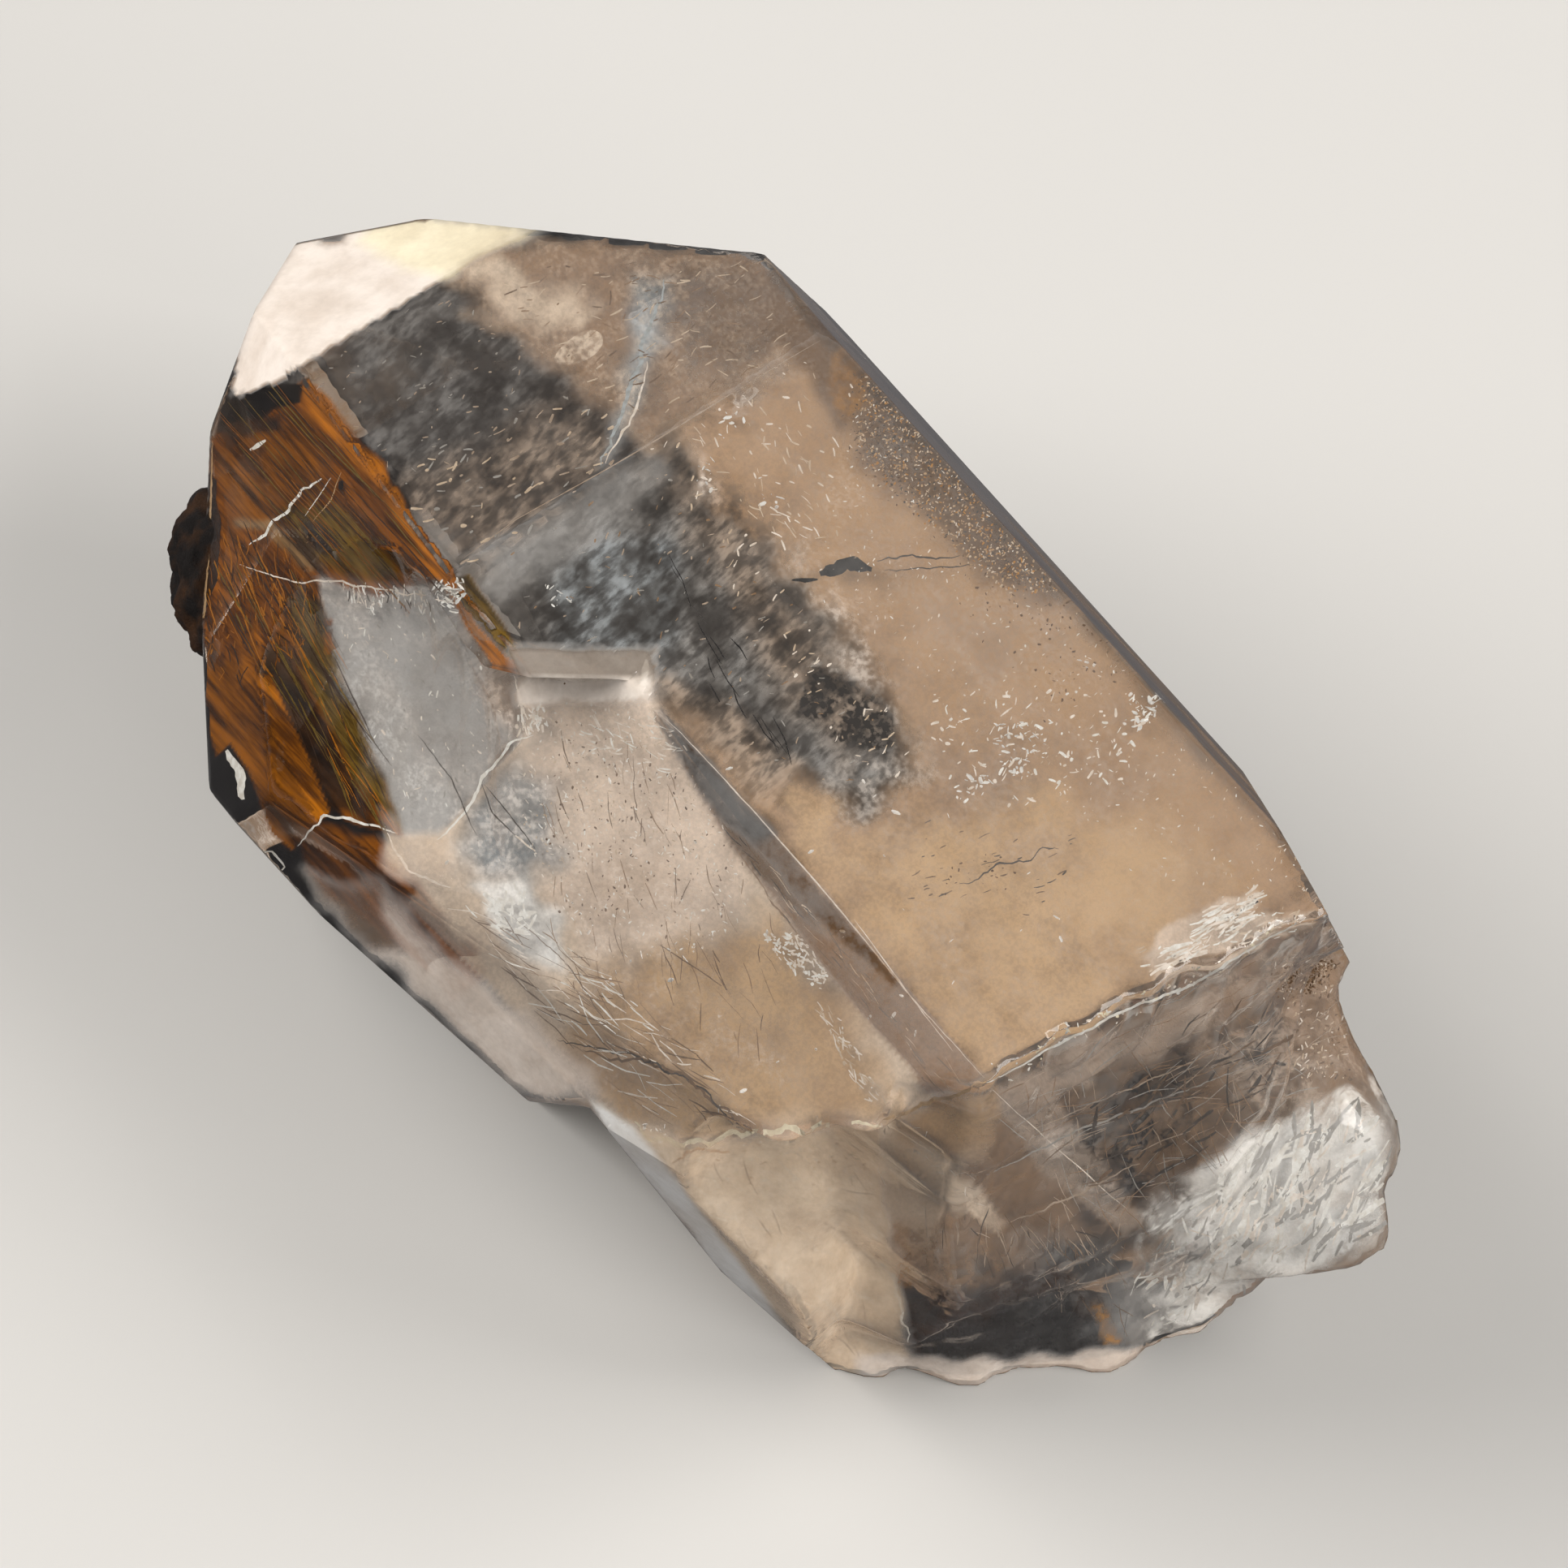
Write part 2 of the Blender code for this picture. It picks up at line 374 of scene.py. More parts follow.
def frame_at(middle: Vector, outward: Vector, along: Vector) -> Matrix:
    """Return a frame whose z points outward and whose x lies along."""
    side = outward.cross(along).normalized()
    forward = side.cross(outward).normalized()
    turned = Matrix((forward, side, outward.normalized())).transposed().to_4x4()
    return Matrix.Translation(middle) @ turned


def rounded_lump(
    name: str, halves: Triple, place: Matrix, shape: Callable[[Vector], float],
    subdivisions: int = 6,
) -> Item:
    """Make an uneven ellipsoid.

    Args:
        name: The object's name.
        halves: Its half sizes.
        place: The frame that it stands in.
        shape: Gives each direction's change in size.
        subdivisions: How often the ball it starts from is divided.

    Returns:
        The lump.
    """
    mesh = bmesh.new()
    bmesh.ops.create_icosphere(mesh, subdivisions=subdivisions, radius=1.0)
    for corner in mesh.verts:
        way = corner.co.normalized()
        grown = [half * part for half, part in zip(halves, way)]
        corner.co = place @ (Vector(grown) + way * shape(way))
    return new_object(name, mesh)


@dataclass
class ShellChip:
    """The shell-shaped chip across the front shoulder."""

    middle: Triple = (-5.4, -13.9, 7.5)
    halves: Triple = (7.6, 16.5, 7.0)
    depth: float = 3.2
    outward: Face = Face(-66.0, 15.0, 0.0)
    beside: Face = Face(-60.0, 0.0, 0.0)
    blow: Pair = (4.0, -6.0)
    ripple: float = 0.08
    ripple_pitch: float = 2.2

    def cutter(self) -> Item:
        """Make the rounded bite that leaves the chip."""
        outward = self.outward.normal()
        across = self.beside.normal().cross(Vector((1.0, 0.0, 0.0)))
        rise = self.halves[2] - self.depth
        place = frame_at(Vector(self.middle) + outward * rise, outward, across)

        def ripple(way: Vector) -> float:
            """Return the shell ripple in one direction."""
            along = way.x * self.halves[0] - self.blow[0]
            reach = math.hypot(along, way.y * self.halves[1] - self.blow[1])
            return self.ripple * math.sin(2.0 * math.pi * reach / self.ripple_pitch)

        return rounded_lump("chip_cutter", self.halves, place, ripple)


@dataclass
class CrystalBody:
    """The crystal itself: flat faces, worn flats, the chip, the step and the broken root."""

    root: RootBreak = field(default_factory=RootBreak)
    chip: ShellChip = field(default_factory=ShellChip)
    longest_edge: float = 0.56
    crease: float = 14.0
    edge_wear: float = 0.45

    def rough_out(self) -> Item:
        """Cut the crystal from a block, face by face."""
        mesh = blank()
        for face in Faces:
            cut_flat(mesh, face.value.normal(), face.value.reach)
        crystal = new_object("crystal", mesh)
        for notch in Notches:
            cut_away(crystal, wedge_cutter(notch.name.lower(), *notch.value))
        cut_away(crystal, self.chip.cutter())
        cut_away(crystal, self.root.cutter())
        return crystal

    def refine(self, crystal: Item) -> None:
        """Divide the faces until no edge is long, and wear the sharp edges a little.

        Args:
            crystal: The rough crystal, changed in place.
        """
        mesh = bmesh.new()
        mesh.from_mesh(crystal.data)
        bmesh.ops.remove_doubles(mesh, verts=mesh.verts[:], dist=WELD_GAP)
        bmesh.ops.dissolve_degenerate(mesh, dist=WELD_GAP, edges=mesh.edges[:])
        bmesh.ops.triangulate(mesh, faces=mesh.faces[:])
        long_edges = [edge for edge in mesh.edges if edge.calc_length() > self.longest_edge]
        while long_edges:
            bmesh.ops.subdivide_edges(mesh, edges=long_edges, cuts=1)
            many_sided = [face for face in mesh.faces if len(face.verts) > 3]
            bmesh.ops.triangulate(mesh, faces=many_sided, quad_method="SHORT_EDGE")
            long_edges = [edge for edge in mesh.edges if edge.calc_length() > self.longest_edge]
        mesh.normal_update()
        crease = math.radians(self.crease)
        sharp = {
            corner for edge in mesh.edges if edge.calc_face_angle(0.0) > crease for corner in edge.verts
        }
        moved = {}
        for corner in sharp:
            around = [edge.other_vert(corner).co for edge in corner.link_edges]
            middle = sum(around, Vector()) / len(around)
            moved[corner] = corner.co.lerp(middle, self.edge_wear)
        for corner, place in moved.items():
            corner.co = place
        mesh.to_mesh(crystal.data)
        mesh.free()

    def build(self) -> Item:
        """Make the whole crystal, its mesh dense enough for paint and relief."""
        crystal = self.rough_out()
        self.refine(crystal)
        crystal.data.shade_smooth()
        return crystal


@dataclass
class Bench:
    """Carries finished pieces from the crystal's frame to the row's, and hangs them on the part."""

    shift: Vector

    @classmethod
    def under(cls, crystal: Item) -> "Bench":
        """Return the bench that puts the crystal's low corner on the CAD box's low corner."""
        places = corner_array(crystal.data)
        return cls(Vector(places.min(axis=0)) - CAD_LOW / MM)

    def metres(self, point: Vector) -> Vector:
        """Return a point of the crystal's frame in metres in the row's frame."""
        return (point - self.shift) * MM

    def settle(self, piece: Item, *replaced: str) -> None:
        """Put a piece in its place in metres, and hang it on the part.

        Args:
            piece: The piece, in millimetres in the crystal's frame.
            replaced: The CAD nodes that it stands for.
        """
        piece.data.transform(Matrix.Scale(MM, 4) @ Matrix.Translation(-self.shift))
        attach(piece, BODY)
        if replaced:
            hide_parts(*replaced)
        log.info("%s: %d faces", piece.name, len(piece.data.polygons))


def corner_array(data: bpy.types.Mesh) -> Array:
    """Return a mesh's corners, one to a row."""
    places = np.empty(len(data.vertices) * 3, np.float32)
    data.vertices.foreach_get("co", places)
    return places.reshape(-1, 3).astype(float)


def wander(points: Array, per_mm: float, seed: float) -> Array:
    """Return smooth noise of about -1 to 1 at each point."""
    offset = Vector((seed, seed * 1.7, seed * 0.3))
    return np.array([noise.noise(Vector(point) * per_mm + offset) for point in points])


@dataclass(frozen=True)
class Sight:
    """The plane square to the camera, in millimetres right of and above the frame's middle."""

    back: Triple = (0.292, -0.449, 0.844)
    right: Triple = (0.640, 0.748, 0.176)
    middle: Triple = (-1.37, 7.41, -10.4)

    def axes(self) -> tuple[Vector, Vector, Vector]:
        """Return the unit directions right, up and back towards the camera."""
        back = Vector(self.back).normalized()
        right = Vector(self.right)
        right = (right - back * right.dot(back)).normalized()
        return right, back.cross(right), back

    def spread(self, points: Array) -> Array:
        """Return how far right and up each point is seen, one to a row."""
        right, up, _ = self.axes()
        from_middle = points - np.array(self.middle)
        return np.stack((from_middle @ np.array(right), from_middle @ np.array(up)), axis=1)


SIGHT = Sight()
GROWTH = -48.0


@dataclass(frozen=True)
class Outline:
    """A closed outline on the sight plane."""

    corners: Path

    def depth(self, spots: Array) -> Array:
        """Return how far inside the outline each spot is, negative outside it.

        Args:
            spots: Places on the sight plane, one to a row.

        Returns:
            The depth of each, in millimetres.
        """
        corners = np.array(self.corners)
        nearest = np.full(len(spots), np.inf)
        inside = np.zeros(len(spots), bool)
        for start, end in zip(corners, np.roll(corners, -1, axis=0)):
            side = end - start
            share = np.clip((spots - start) @ side / (side @ side), 0.0, 1.0)
            gap = np.linalg.norm(spots - start - share[:, None] * side, axis=1)
            nearest = np.minimum(nearest, gap)
            crosses = (start[1] > spots[:, 1]) != (end[1] > spots[:, 1])
            rise = np.where(side[1] == 0.0, 1e-9, side[1])
            meeting = start[0] + (spots[:, 1] - start[1]) / rise * side[0]
            inside ^= crosses & (spots[:, 0] < meeting)
        return np.where(inside, nearest, -nearest)


class Tone(Enum):
    """The colours found in and on the stone, some of them also painted for light and shade."""

    WHITE = linear(246, 245, 242)
    PALE = linear(242, 231, 221)
    CREAM = linear(246, 236, 208)
    MILK = linear(212, 192, 170)
    FROST = linear(228, 207, 187)
    WAX = linear(236, 217, 194)
    HAZE = linear(176, 158, 142)
    BEIGE = linear(172, 140, 108)
    TAN = linear(190, 158, 121)
    ASH = linear(162, 159, 156)
    BLUE_GREY = linear(176, 182, 186)
    SLATE = linear(62, 59, 57)
    TAUPE = linear(144, 116, 90)
    STONE = linear(158, 148, 138)
    # Painted fill light, lifting the shadow band under the ledge.
    PEARL = linear(234, 224, 214)
    GROOVE = linear(150, 119, 90)
    BROWN = linear(112, 88, 66)
    DUSK = linear(62, 54, 48)
    OCHRE = linear(176, 122, 44)
    ORANGE = linear(172, 106, 18)
    RUST = linear(132, 78, 12)
    AMBER = linear(132, 80, 8)
    OLIVE = linear(112, 90, 36)
    UMBER = linear(54, 34, 18)
    BLACK = linear(20, 16, 14)


@dataclass(frozen=True)
class Stroke:
    """One stroke of colour: where it lies, its tone, and how it covers what is under it.

    soft is the width of its edge and ragged how far the edge wanders, in millimetres. skin is
    the share of its cover that lies on the crystal's skin, where the rest lies under it.
    """

    corners: Path
    tone: Tone
    cover: float
    soft: float = 0.6
    ragged: float = 0.25
    frost: float = 0.0
    skin: float = 0.07


@dataclass
class Painter:
    """Lays strokes on a mesh whose corners are seen at known spots."""

    strokes: tuple[Stroke, ...]
    on_skin: bool = True
    wander_per_mm: float = 0.9
    wander_seeds: Pair = (3.0, 8.0)
    skin_hides: float = 0.6

    def lay(
        self, data: bpy.types.Mesh, spots: Array, facing: Array | float,
        cover: Array, frost: Array, tone: Array,
    ) -> None:
        """Lay the strokes, and write the attributes that the finishes read.

        Args:
            data: The mesh.
            spots: Where each corner is seen on the sight plane.
            facing: How far each corner takes the strokes.
            cover: How much of the ground is covered at each corner.
            frost: How frosted each corner is.
            tone: The ground's colour at each corner.
        """
        flat = np.column_stack((spots, np.zeros(len(spots))))
        bend = np.stack([wander(flat, self.wander_per_mm, seed) for seed in self.wander_seeds], axis=1)
        for stroke in self.strokes:
            depth = Outline(stroke.corners).depth(spots + bend * stroke.ragged)
            weight = smooth_step(depth / stroke.soft + 0.5) * facing
            part = stroke.skin if self.on_skin else 1.0 - self.skin_hides * stroke.skin
            frost = frost * (1.0 - weight) + stroke.frost * weight
            covers = np.maximum(cover * (1.0 - weight) + stroke.cover * part * weight, LEAST_COVER)
            share = np.clip(stroke.cover * part * weight / covers, 0.0, 1.0)[:, None]
            tone = tone * (1.0 - share) + np.array(stroke.tone.value) * share
            cover = covers
        write_values(data, "cover", cover)
        write_values(data, "frost", frost)
        write_tones(data, tone)


def facing_camera(data: bpy.types.Mesh, low: float = 0.02, high: float = 0.12) -> Array:
    """Return 1 at each corner that looks at the camera, and 0 where it looks away."""
    normals = np.empty(len(data.vertices) * 3, np.float32)
    data.vertices.foreach_get("normal", normals)
    towards = normals.reshape(-1, 3) @ np.array(SIGHT.axes()[2])
    return smooth_step((towards - low) / (high - low))


class Skin:
    """The crystal's skin as the camera sees it, for placing what lies under it."""

    root_way: Vector = Vector((0.90, -0.18, 0.40)).normalized()
    root_from: float = 0.4
    least_facing: float = 0.03
    start_under: float = 0.02
    deepest_share: float = 0.8

    def __init__(self, crystal: Item, ior: float = 1.544) -> None:
        """Index the crystal's faces.

        Args:
            crystal: The crystal, still in millimetres.
            ior: How strongly it bends light.
        """
        data = crystal.data
        corners = [corner.co.copy() for corner in data.vertices]
        self.tree = BVHTree.FromPolygons(corners, [tuple(face.vertices) for face in data.polygons])
        self.bend = 1.0 / ior
        self.right, self.up, self.back = SIGHT.axes()
        self.middle = Vector(SIGHT.middle)

    def under(self, spot: Array, depth: float) -> tuple[Vector, Vector] | None:
        """Find what is seen at a spot of the sight plane.

        Args:
            spot: The place, right of and above the frame's middle.
            depth: How far under the skin to look, along the bent ray.

        Returns:
            The place under the skin and the skin's normal, or None where the crystal isn't. The
            rough root counts as flat.
        """
        start = self.middle + self.right * spot[0] + self.up * spot[1] + self.back * BLANK_HALF * 2.0
        hit, normal, _, _ = self.tree.ray_cast(start, -self.back)
        if hit is None:
            return None
        if normal.x > self.root_from:
            normal = self.root_way
        facing = normal.dot(self.back)
        if facing < self.least_facing:
            return None
        passed = math.sqrt(1.0 - self.bend ** 2 * (1.0 - facing ** 2))
        inward = -self.back * self.bend + normal * (self.bend * facing - passed)
        reach = self.tree.ray_cast(hit + inward * self.start_under, inward)[3] or 0.0
        return hit + inward * min(depth, self.deepest_share * reach), normal


@dataclass
class Veil:
    """A sheet inside the crystal, laid so that each stroke is seen where it is drawn."""

    name: str
    strokes: tuple[Stroke, ...]
    depth: float = 1.1
    swell: float = 0.3
    swell_per_mm: float = 0.2
    pitch: float = 0.25
    margin: float = 0.5
    most_turn: float = 75.0
    easings: int = 4
    easing: float = 0.5
    seed_step: float = 3.7
    seed: float = 0.0

    def build(self, skin: Skin) -> Item:
        """Make the sheet and paint it.

        Args:
            skin: The crystal's skin, which the sheet lies under.

        Returns:
            The sheet.
        """
        outlines = [Outline(stroke.corners) for stroke in self.strokes]
        corners = np.array([corner for outline in outlines for corner in outline.corners])
        low = corners.min(axis=0) - self.margin
        high = corners.max(axis=0) + self.margin
        across = np.arange(low[0], high[0], self.pitch)
        upward = np.arange(low[1], high[1], self.pitch)
        spots = np.array([(x, y) for y in upward for x in across])
        inside = np.max(
            [outline.depth(spots) + 0.5 * stroke.soft + stroke.ragged
             for outline, stroke in zip(outlines, self.strokes)], axis=0,
        )
        flat = np.column_stack((spots, np.full(len(spots), self.seed)))
        depths = self.depth + self.swell * wander(flat, self.swell_per_mm, self.seed)
        found = {
            index: skin.under(spots[index], depths[index])
            for index in np.flatnonzero(inside > -self.margin).tolist()
        }
        found = {index: place for index, place in found.items() if place is not None}
        return self.weave(spots, found, inside, len(across))

    def weave(
        self, spots: Array, found: dict[int, tuple[Vector, Vector]], inside: Array,
        columns: int,
    ) -> Item:
        """Join the places found into a sheet, left open where the skin turns a corner.

        Args:
            spots: A grid on the sight plane, row by row.
            found: The place under the skin, and the skin's normal, of each spot that has one.
            inside: How far inside the strokes each spot is.
            columns: How many spots are in a row.

        Returns:
            The sheet, painted.
        """
        mesh = bmesh.new()
        corners = {index: mesh.verts.new(place) for index, (place, _) in found.items()}
        least = math.cos(math.radians(self.most_turn))
        for index, (_, normal) in found.items():
            ring = (index, index + 1, index + columns + 1, index + columns)
            whole = all(other in found and found[other][1].dot(normal) > least for other in ring)
            if whole and max(inside[other] for other in ring) > 0.0:
                mesh.faces.new([corners[other] for other in ring])
        used = [index for index in found if corners[index].link_faces]
        loose = [corner for corner in mesh.verts if not corner.link_faces]
        bmesh.ops.delete(mesh, geom=loose, context="VERTS")
        every_way = {"use_axis_x": True, "use_axis_y": True, "use_axis_z": True}
        for _ in range(self.easings):
            bmesh.ops.smooth_vert(mesh, verts=mesh.verts[:], factor=self.easing, **every_way)
        sheet = new_object(self.name, mesh)
        sheet.data.shade_smooth()
        growth = math.radians(GROWTH)
        along, across = math.cos(growth), math.sin(growth)
        turned = spots[used] @ np.array(((along, -across), (across, along)))
        seen = np.column_stack((turned, np.full(len(used), self.seed * self.seed_step)))
        write_values(sheet.data, "seen", seen, "FLOAT_VECTOR", "vector")
        bare = np.zeros(len(used))
        tone = np.tile(np.array(self.strokes[0].tone.value), (len(used), 1))
        Painter(self.strokes, on_skin=False).lay(sheet.data, spots[used], 1.0, bare, bare, tone)
        return sheet


def write_values(
    data: bpy.types.Mesh, name: str, values: Array, kind: str = "FLOAT", part: str = "value",
) -> None:
    """Write one number, place or colour a corner as a mesh attribute."""
    data.attributes.new(name, kind, "POINT")
    data.attributes[name].data.foreach_set(part, values.astype(np.float32).ravel())


def write_tones(data: bpy.types.Mesh, tones: Array) -> None:
    """Write the colour of each corner as a mesh attribute."""
    write_values(data, "tone", tones, "FLOAT_COLOR", "color")


class Nodes:
    """A node tree, with short calls for what every tree here needs."""

    def __init__(self, tree: bpy.types.NodeTree) -> None:
        """Take a tree and empty it."""
        self.tree = tree
        self.tree.nodes.clear()

    def add(self, kind: str, fed: Fed | None = None, **settings: object) -> Node:
        """Add a node.

        Args:
            kind: The node's kind.
            fed: What its sockets get, a link or a plain value, by name or number.
            settings: Its properties.

        Returns:
            The node.
        """
        node = self.tree.nodes.new(kind)
        for name, value in settings.items():
            setattr(node, name, value)
        for key, value in (fed or {}).items():
            self.feed(node.inputs[key], value)
        return node

    def link(self, source: Socket, target: Socket) -> None:
        """Join two sockets."""
        self.tree.links.new(source, target)

    def feed(self, socket: Socket, value: object) -> None:
        """Give a socket a link or a plain value."""
        if isinstance(value, Socket):
            self.link(value, socket)
        else:
            socket.default_value = value

    def mix(self, share: object, first: object, second: object, blend: str = "MIX") -> Socket:
        """Return one colour mixed into another."""
        fed = {0: share, 6: first, 7: second}
        return self.add("ShaderNodeMix", fed, data_type="RGBA", blend_type=blend).outputs[2]

    def switch(self, share: Socket, first: Node, second: Node) -> Node:
        """Return a shader that is the first where the share is 0, and the second where it is 1."""
        return self.add("ShaderNodeMixShader", {0: share, 1: first.outputs[0], 2: second.outputs[0]})


class Shader(Nodes):
    """A material's node tree, with short calls for what the finishes share."""

    def __init__(self, name: str, seen: bool = False) -> None:
        """Start a material with an empty tree and an output.

        Args:
            name: The material's name.
            seen: Whether patterns follow the places that a veil holds, not the crystal's axes.
        """
        self.material = bpy.data.materials.new(name)
        self.material.use_nodes = True
        super().__init__(self.material.node_tree)
        self.output = self.add("ShaderNodeOutputMaterial")
        if seen:
            self.place = self.attribute("seen", "Vector")
            return
        local = self.add("ShaderNodeTexCoord").outputs["Object"]
        scaled = self.add("ShaderNodeVectorMath", {0: local, "Scale": 1.0 / MM}, operation="SCALE")
        self.place = scaled.outputs[0]

    def finish(self, surface: Node) -> bpy.types.Material:
        """Make a shader the material's surface, and return the material."""
        self.link(surface.outputs[0], self.output.inputs["Surface"])
        return self.material

    def solid(self, fed: Fed) -> Node:
        """Add the main shader with its sockets fed."""
        return self.add("ShaderNodeBsdfPrincipled", fed)

    def math(self, operation: str, *values: object, clamp: bool = False) -> Socket:
        """Return the result of one sum."""
        fed = dict(enumerate(values))
        return self.add("ShaderNodeMath", fed, operation=operation, use_clamp=clamp).outputs[0]

    def times(self, *values: object, clamp: bool = False) -> Socket:
        """Return one value times another."""
        return self.math("MULTIPLY", *values, clamp=clamp)

    def plus(self, *values: object, clamp: bool = False) -> Socket:
        """Return one value plus another."""
        return self.math("ADD", *values, clamp=clamp)

    def less(self, *values: object, clamp: bool = False) -> Socket:
        """Return one value less another."""
        return self.math("SUBTRACT", *values, clamp=clamp)

    def tinted(self, tone: object, tint: object) -> Socket:
        """Return a colour multiplied by another."""
        return self.mix(1.0, tone, tint, "MULTIPLY")

    def attribute(self, name: str, output: str = "Fac") -> Socket:
        """Return what a mesh attribute says."""
        return self.add("ShaderNodeAttribute", attribute_name=name).outputs[output]

    def noise(
        self, per_mm: float, detail: float = 4.0, rough: float = 0.55,
        stretch: Triple = EVEN, turn: float = 0.0,
    ) -> Socket:
        """Return a noise pattern of 0 to 1.

        Args:
            per_mm: How many lumps it has to a millimetre.
            detail: How many finer octaves it has.
            rough: How strong those are.
            stretch: The pattern's scale along each axis.
            turn: How far it is turned before it is stretched, in degrees.

        Returns:
            The pattern's value.
        """
        way = {"Vector": self.place, "Angle": math.radians(turn)}
        turned = self.add("ShaderNodeVectorRotate", way, rotation_type="Z_AXIS")
        place = self.add("ShaderNodeMapping", {"Vector": turned.outputs[0], "Scale": stretch})
        fed = {"Vector": place.outputs[0], "Scale": per_mm, "Detail": detail, "Roughness": rough}
        return self.add("ShaderNodeTexNoise", fed).outputs["Fac"]

    def window(self, value: object, low: float, high: float) -> Socket:
        """Return the value eased from 0 at low to 1 at high."""
        fed = {"Value": value, "From Min": low, "From Max": high}
        return self.add("ShaderNodeMapRange", fed, interpolation_type="SMOOTHSTEP").outputs[0]

    def bump(self, height: Socket, strength: float, rise: float) -> Socket:
        """Return the normal of a relief that rises so many millimetres."""
        fed = {"Strength": strength, "Distance": rise * MM, "Height": height}
        return self.add("ShaderNodeBump", fed).outputs[0]


@dataclass(frozen=True)
class QuartzFinish:
    """Clear quartz with milky clouds, frosted growth and a faint warm depth."""

    ior: float = 1.544
    clear: Colour = (0.97, 0.965, 0.95, 1.0)
    depth_colour: Colour = (0.92, 0.84, 0.74, 1.0)
    depth_density: float = 14.0
    shade_under: float = 0.12
    shade_inside: float = 0.95
    shade_depth: Colour = (0.90, 0.87, 0.84, 1.0)
    polish: float = 0.02
    frost_least: float = 0.1
    shade_edge: Pair = (0.3, 0.7)
    speckle_edge: Pair = (0.4, 0.75)
    wisps_per_mm: float = 0.5
    specks_per_mm: float = 3.2
    grain_per_mm: float = 5.5
    speckle: float = 0.5
    tint_gain: float = 2.5
    wisp_share: float = 0.5
    speck_share: float = 0.22
    break_middle: float = 0.36
    break_swing: float = 1.1
    edge_limit: float = 1.15
    edge_gain: float = 3.0
    edge_least: float = 0.05
    break_share: float = 0.9

    def material(self) -> bpy.types.Material:
        """Return the finish as a material."""
        shader = Shader("quartz")
        wisps = shader.noise(self.wisps_per_mm, detail=4.0, rough=0.6)
        cover = self.cloud(shader, wisps)
        frost = shader.attribute("frost")
        grain = shader.noise(self.grain_per_mm, detail=2.0, rough=0.7)
        tone = shader.attribute("tone", "Color")
        shade = shader.window(wisps, *self.shade_edge)
        shaded = shader.mix(shade, shader.tinted(tone, self.shade_depth), tone)
        speckle = shader.times(shader.window(grain, *self.speckle_edge), self.speckle)
        grainy = shader.mix(shader.times(speckle, frost), shaded, Tone.WHITE.value)
        tint = shader.times(cover, self.tint_gain, clamp=True)
        rough = shader.times(frost, shader.plus(grain, self.frost_least))
        glass = shader.solid({
            "IOR": self.ior,
            "Base Color": shader.mix(tint, self.clear, grainy),
            "Transmission Weight": shader.less(1.0, cover, clamp=True),
            "Roughness": shader.plus(rough, self.polish, clamp=True),
        })
        depth = {"Color": self.depth_colour, "Density": self.depth_density}
        absorbing = shader.add("ShaderNodeVolumeAbsorption", depth)
        shader.link(absorbing.outputs[0], shader.output.inputs["Volume"])
        return shader.finish(self.lamps_through(shader, glass))

    def cloud(self, shader: Shader, wisps: Socket) -> Socket:
        """Return how much of the surface is cloud, broken up by wisps and specks.

        Args:
            shader: The material's shader.
            wisps: The pattern of broad wisps.

        Returns:
            The cover, from 0 to 1.
        """
        cover = shader.attribute("cover")
        specks = shader.noise(self.specks_per_mm, detail=2.0, rough=0.7)
        broken = shader.plus(shader.times(wisps, self.wisp_share), shader.times(specks, self.speck_share))
        swing = shader.times(shader.less(broken, self.break_middle), self.break_swing)
        edge = shader.times(cover, shader.less(self.edge_limit, cover))
        thicker = shader.times(swing, shader.plus(shader.times(edge, self.edge_gain), self.edge_least))
        return shader.plus(cover, shader.times(thicker, self.break_share), clamp=True)

    def lamps_through(self, shader: Shader, glass: Node) -> Node:
        """Let lamps light what is inside, and keep the stone's shadow on what is outside.

        Args:
            shader: The material's shader.
            glass: The quartz that rays from the camera see.

        Returns:
            The surface for all rays.
        """
        path = shader.add("ShaderNodeLightPath").outputs["Is Shadow Ray"]
        leaving = shader.add("ShaderNodeNewGeometry").outputs["Backfacing"]
        under = (self.shade_under,) * 3 + (1.0,)
        inside = (self.shade_inside,) * 3 + (1.0,)
        lamp = shader.add("ShaderNodeBsdfTransparent", {"Color": shader.mix(leaving, under, inside)})
        return shader.switch(path, glass, lamp)


@dataclass(frozen=True)
class Thread:
    """A crack, hair or sliver: a thin line as it is seen, in millimetres."""

    path: Path
    tone: Tone
    width: float = 0.1
    wave: float = 0.08
    swings_per_mm: Pair = (1.3, 4.0)
    quick_swing: float = 0.5
    swells_per_mm: float = 3.1
    least_steps: int = 4
    seed_per_width: float = 9.0
    half_share: float = 0.4
    least_half: float = 0.75
    half_swell: float = 0.9

    def rows(self, step: float) -> Iterable[tuple[Vector, Vector]]:
        """Yield the line's left and right edge at each short step along it.

        Args:
            step: How long each step is.

        Yields:
            Pairs of places on the sight plane, left and right.
        """
        path = np.array(self.path)
        lengths = np.linalg.norm(np.diff(path, axis=0), axis=1)
        reach = np.concatenate(([0.0], np.cumsum(lengths)))
        count = max(self.least_steps, int(reach[-1] / step))
        places = np.linspace(0.0, reach[-1], count)
        line = np.stack([np.interp(places, reach, path[:, axis]) for axis in (0, 1)], axis=1)
        ways = np.gradient(line, axis=0)
        ways /= np.linalg.norm(ways, axis=1)[:, None]
        sides = np.stack((-ways[:, 1], ways[:, 0]), axis=1)
        for index, (place, side) in enumerate(zip(line, sides)):
            way = Vector((place[0], place[1], self.width * self.seed_per_width))
            slow, quick = (noise.noise(way * per_mm) for per_mm in self.swings_per_mm)
            swing = self.wave * (slow + self.quick_swing * quick)
            taper = math.sin(math.pi * (index + 0.5) / count) ** 0.5
            swell = self.least_half + self.half_swell * abs(noise.noise(way * self.swells_per_mm))
            half = self.half_share * self.width * taper * swell
            middle = place + side * swing
            yield middle - side * half, middle + side * half


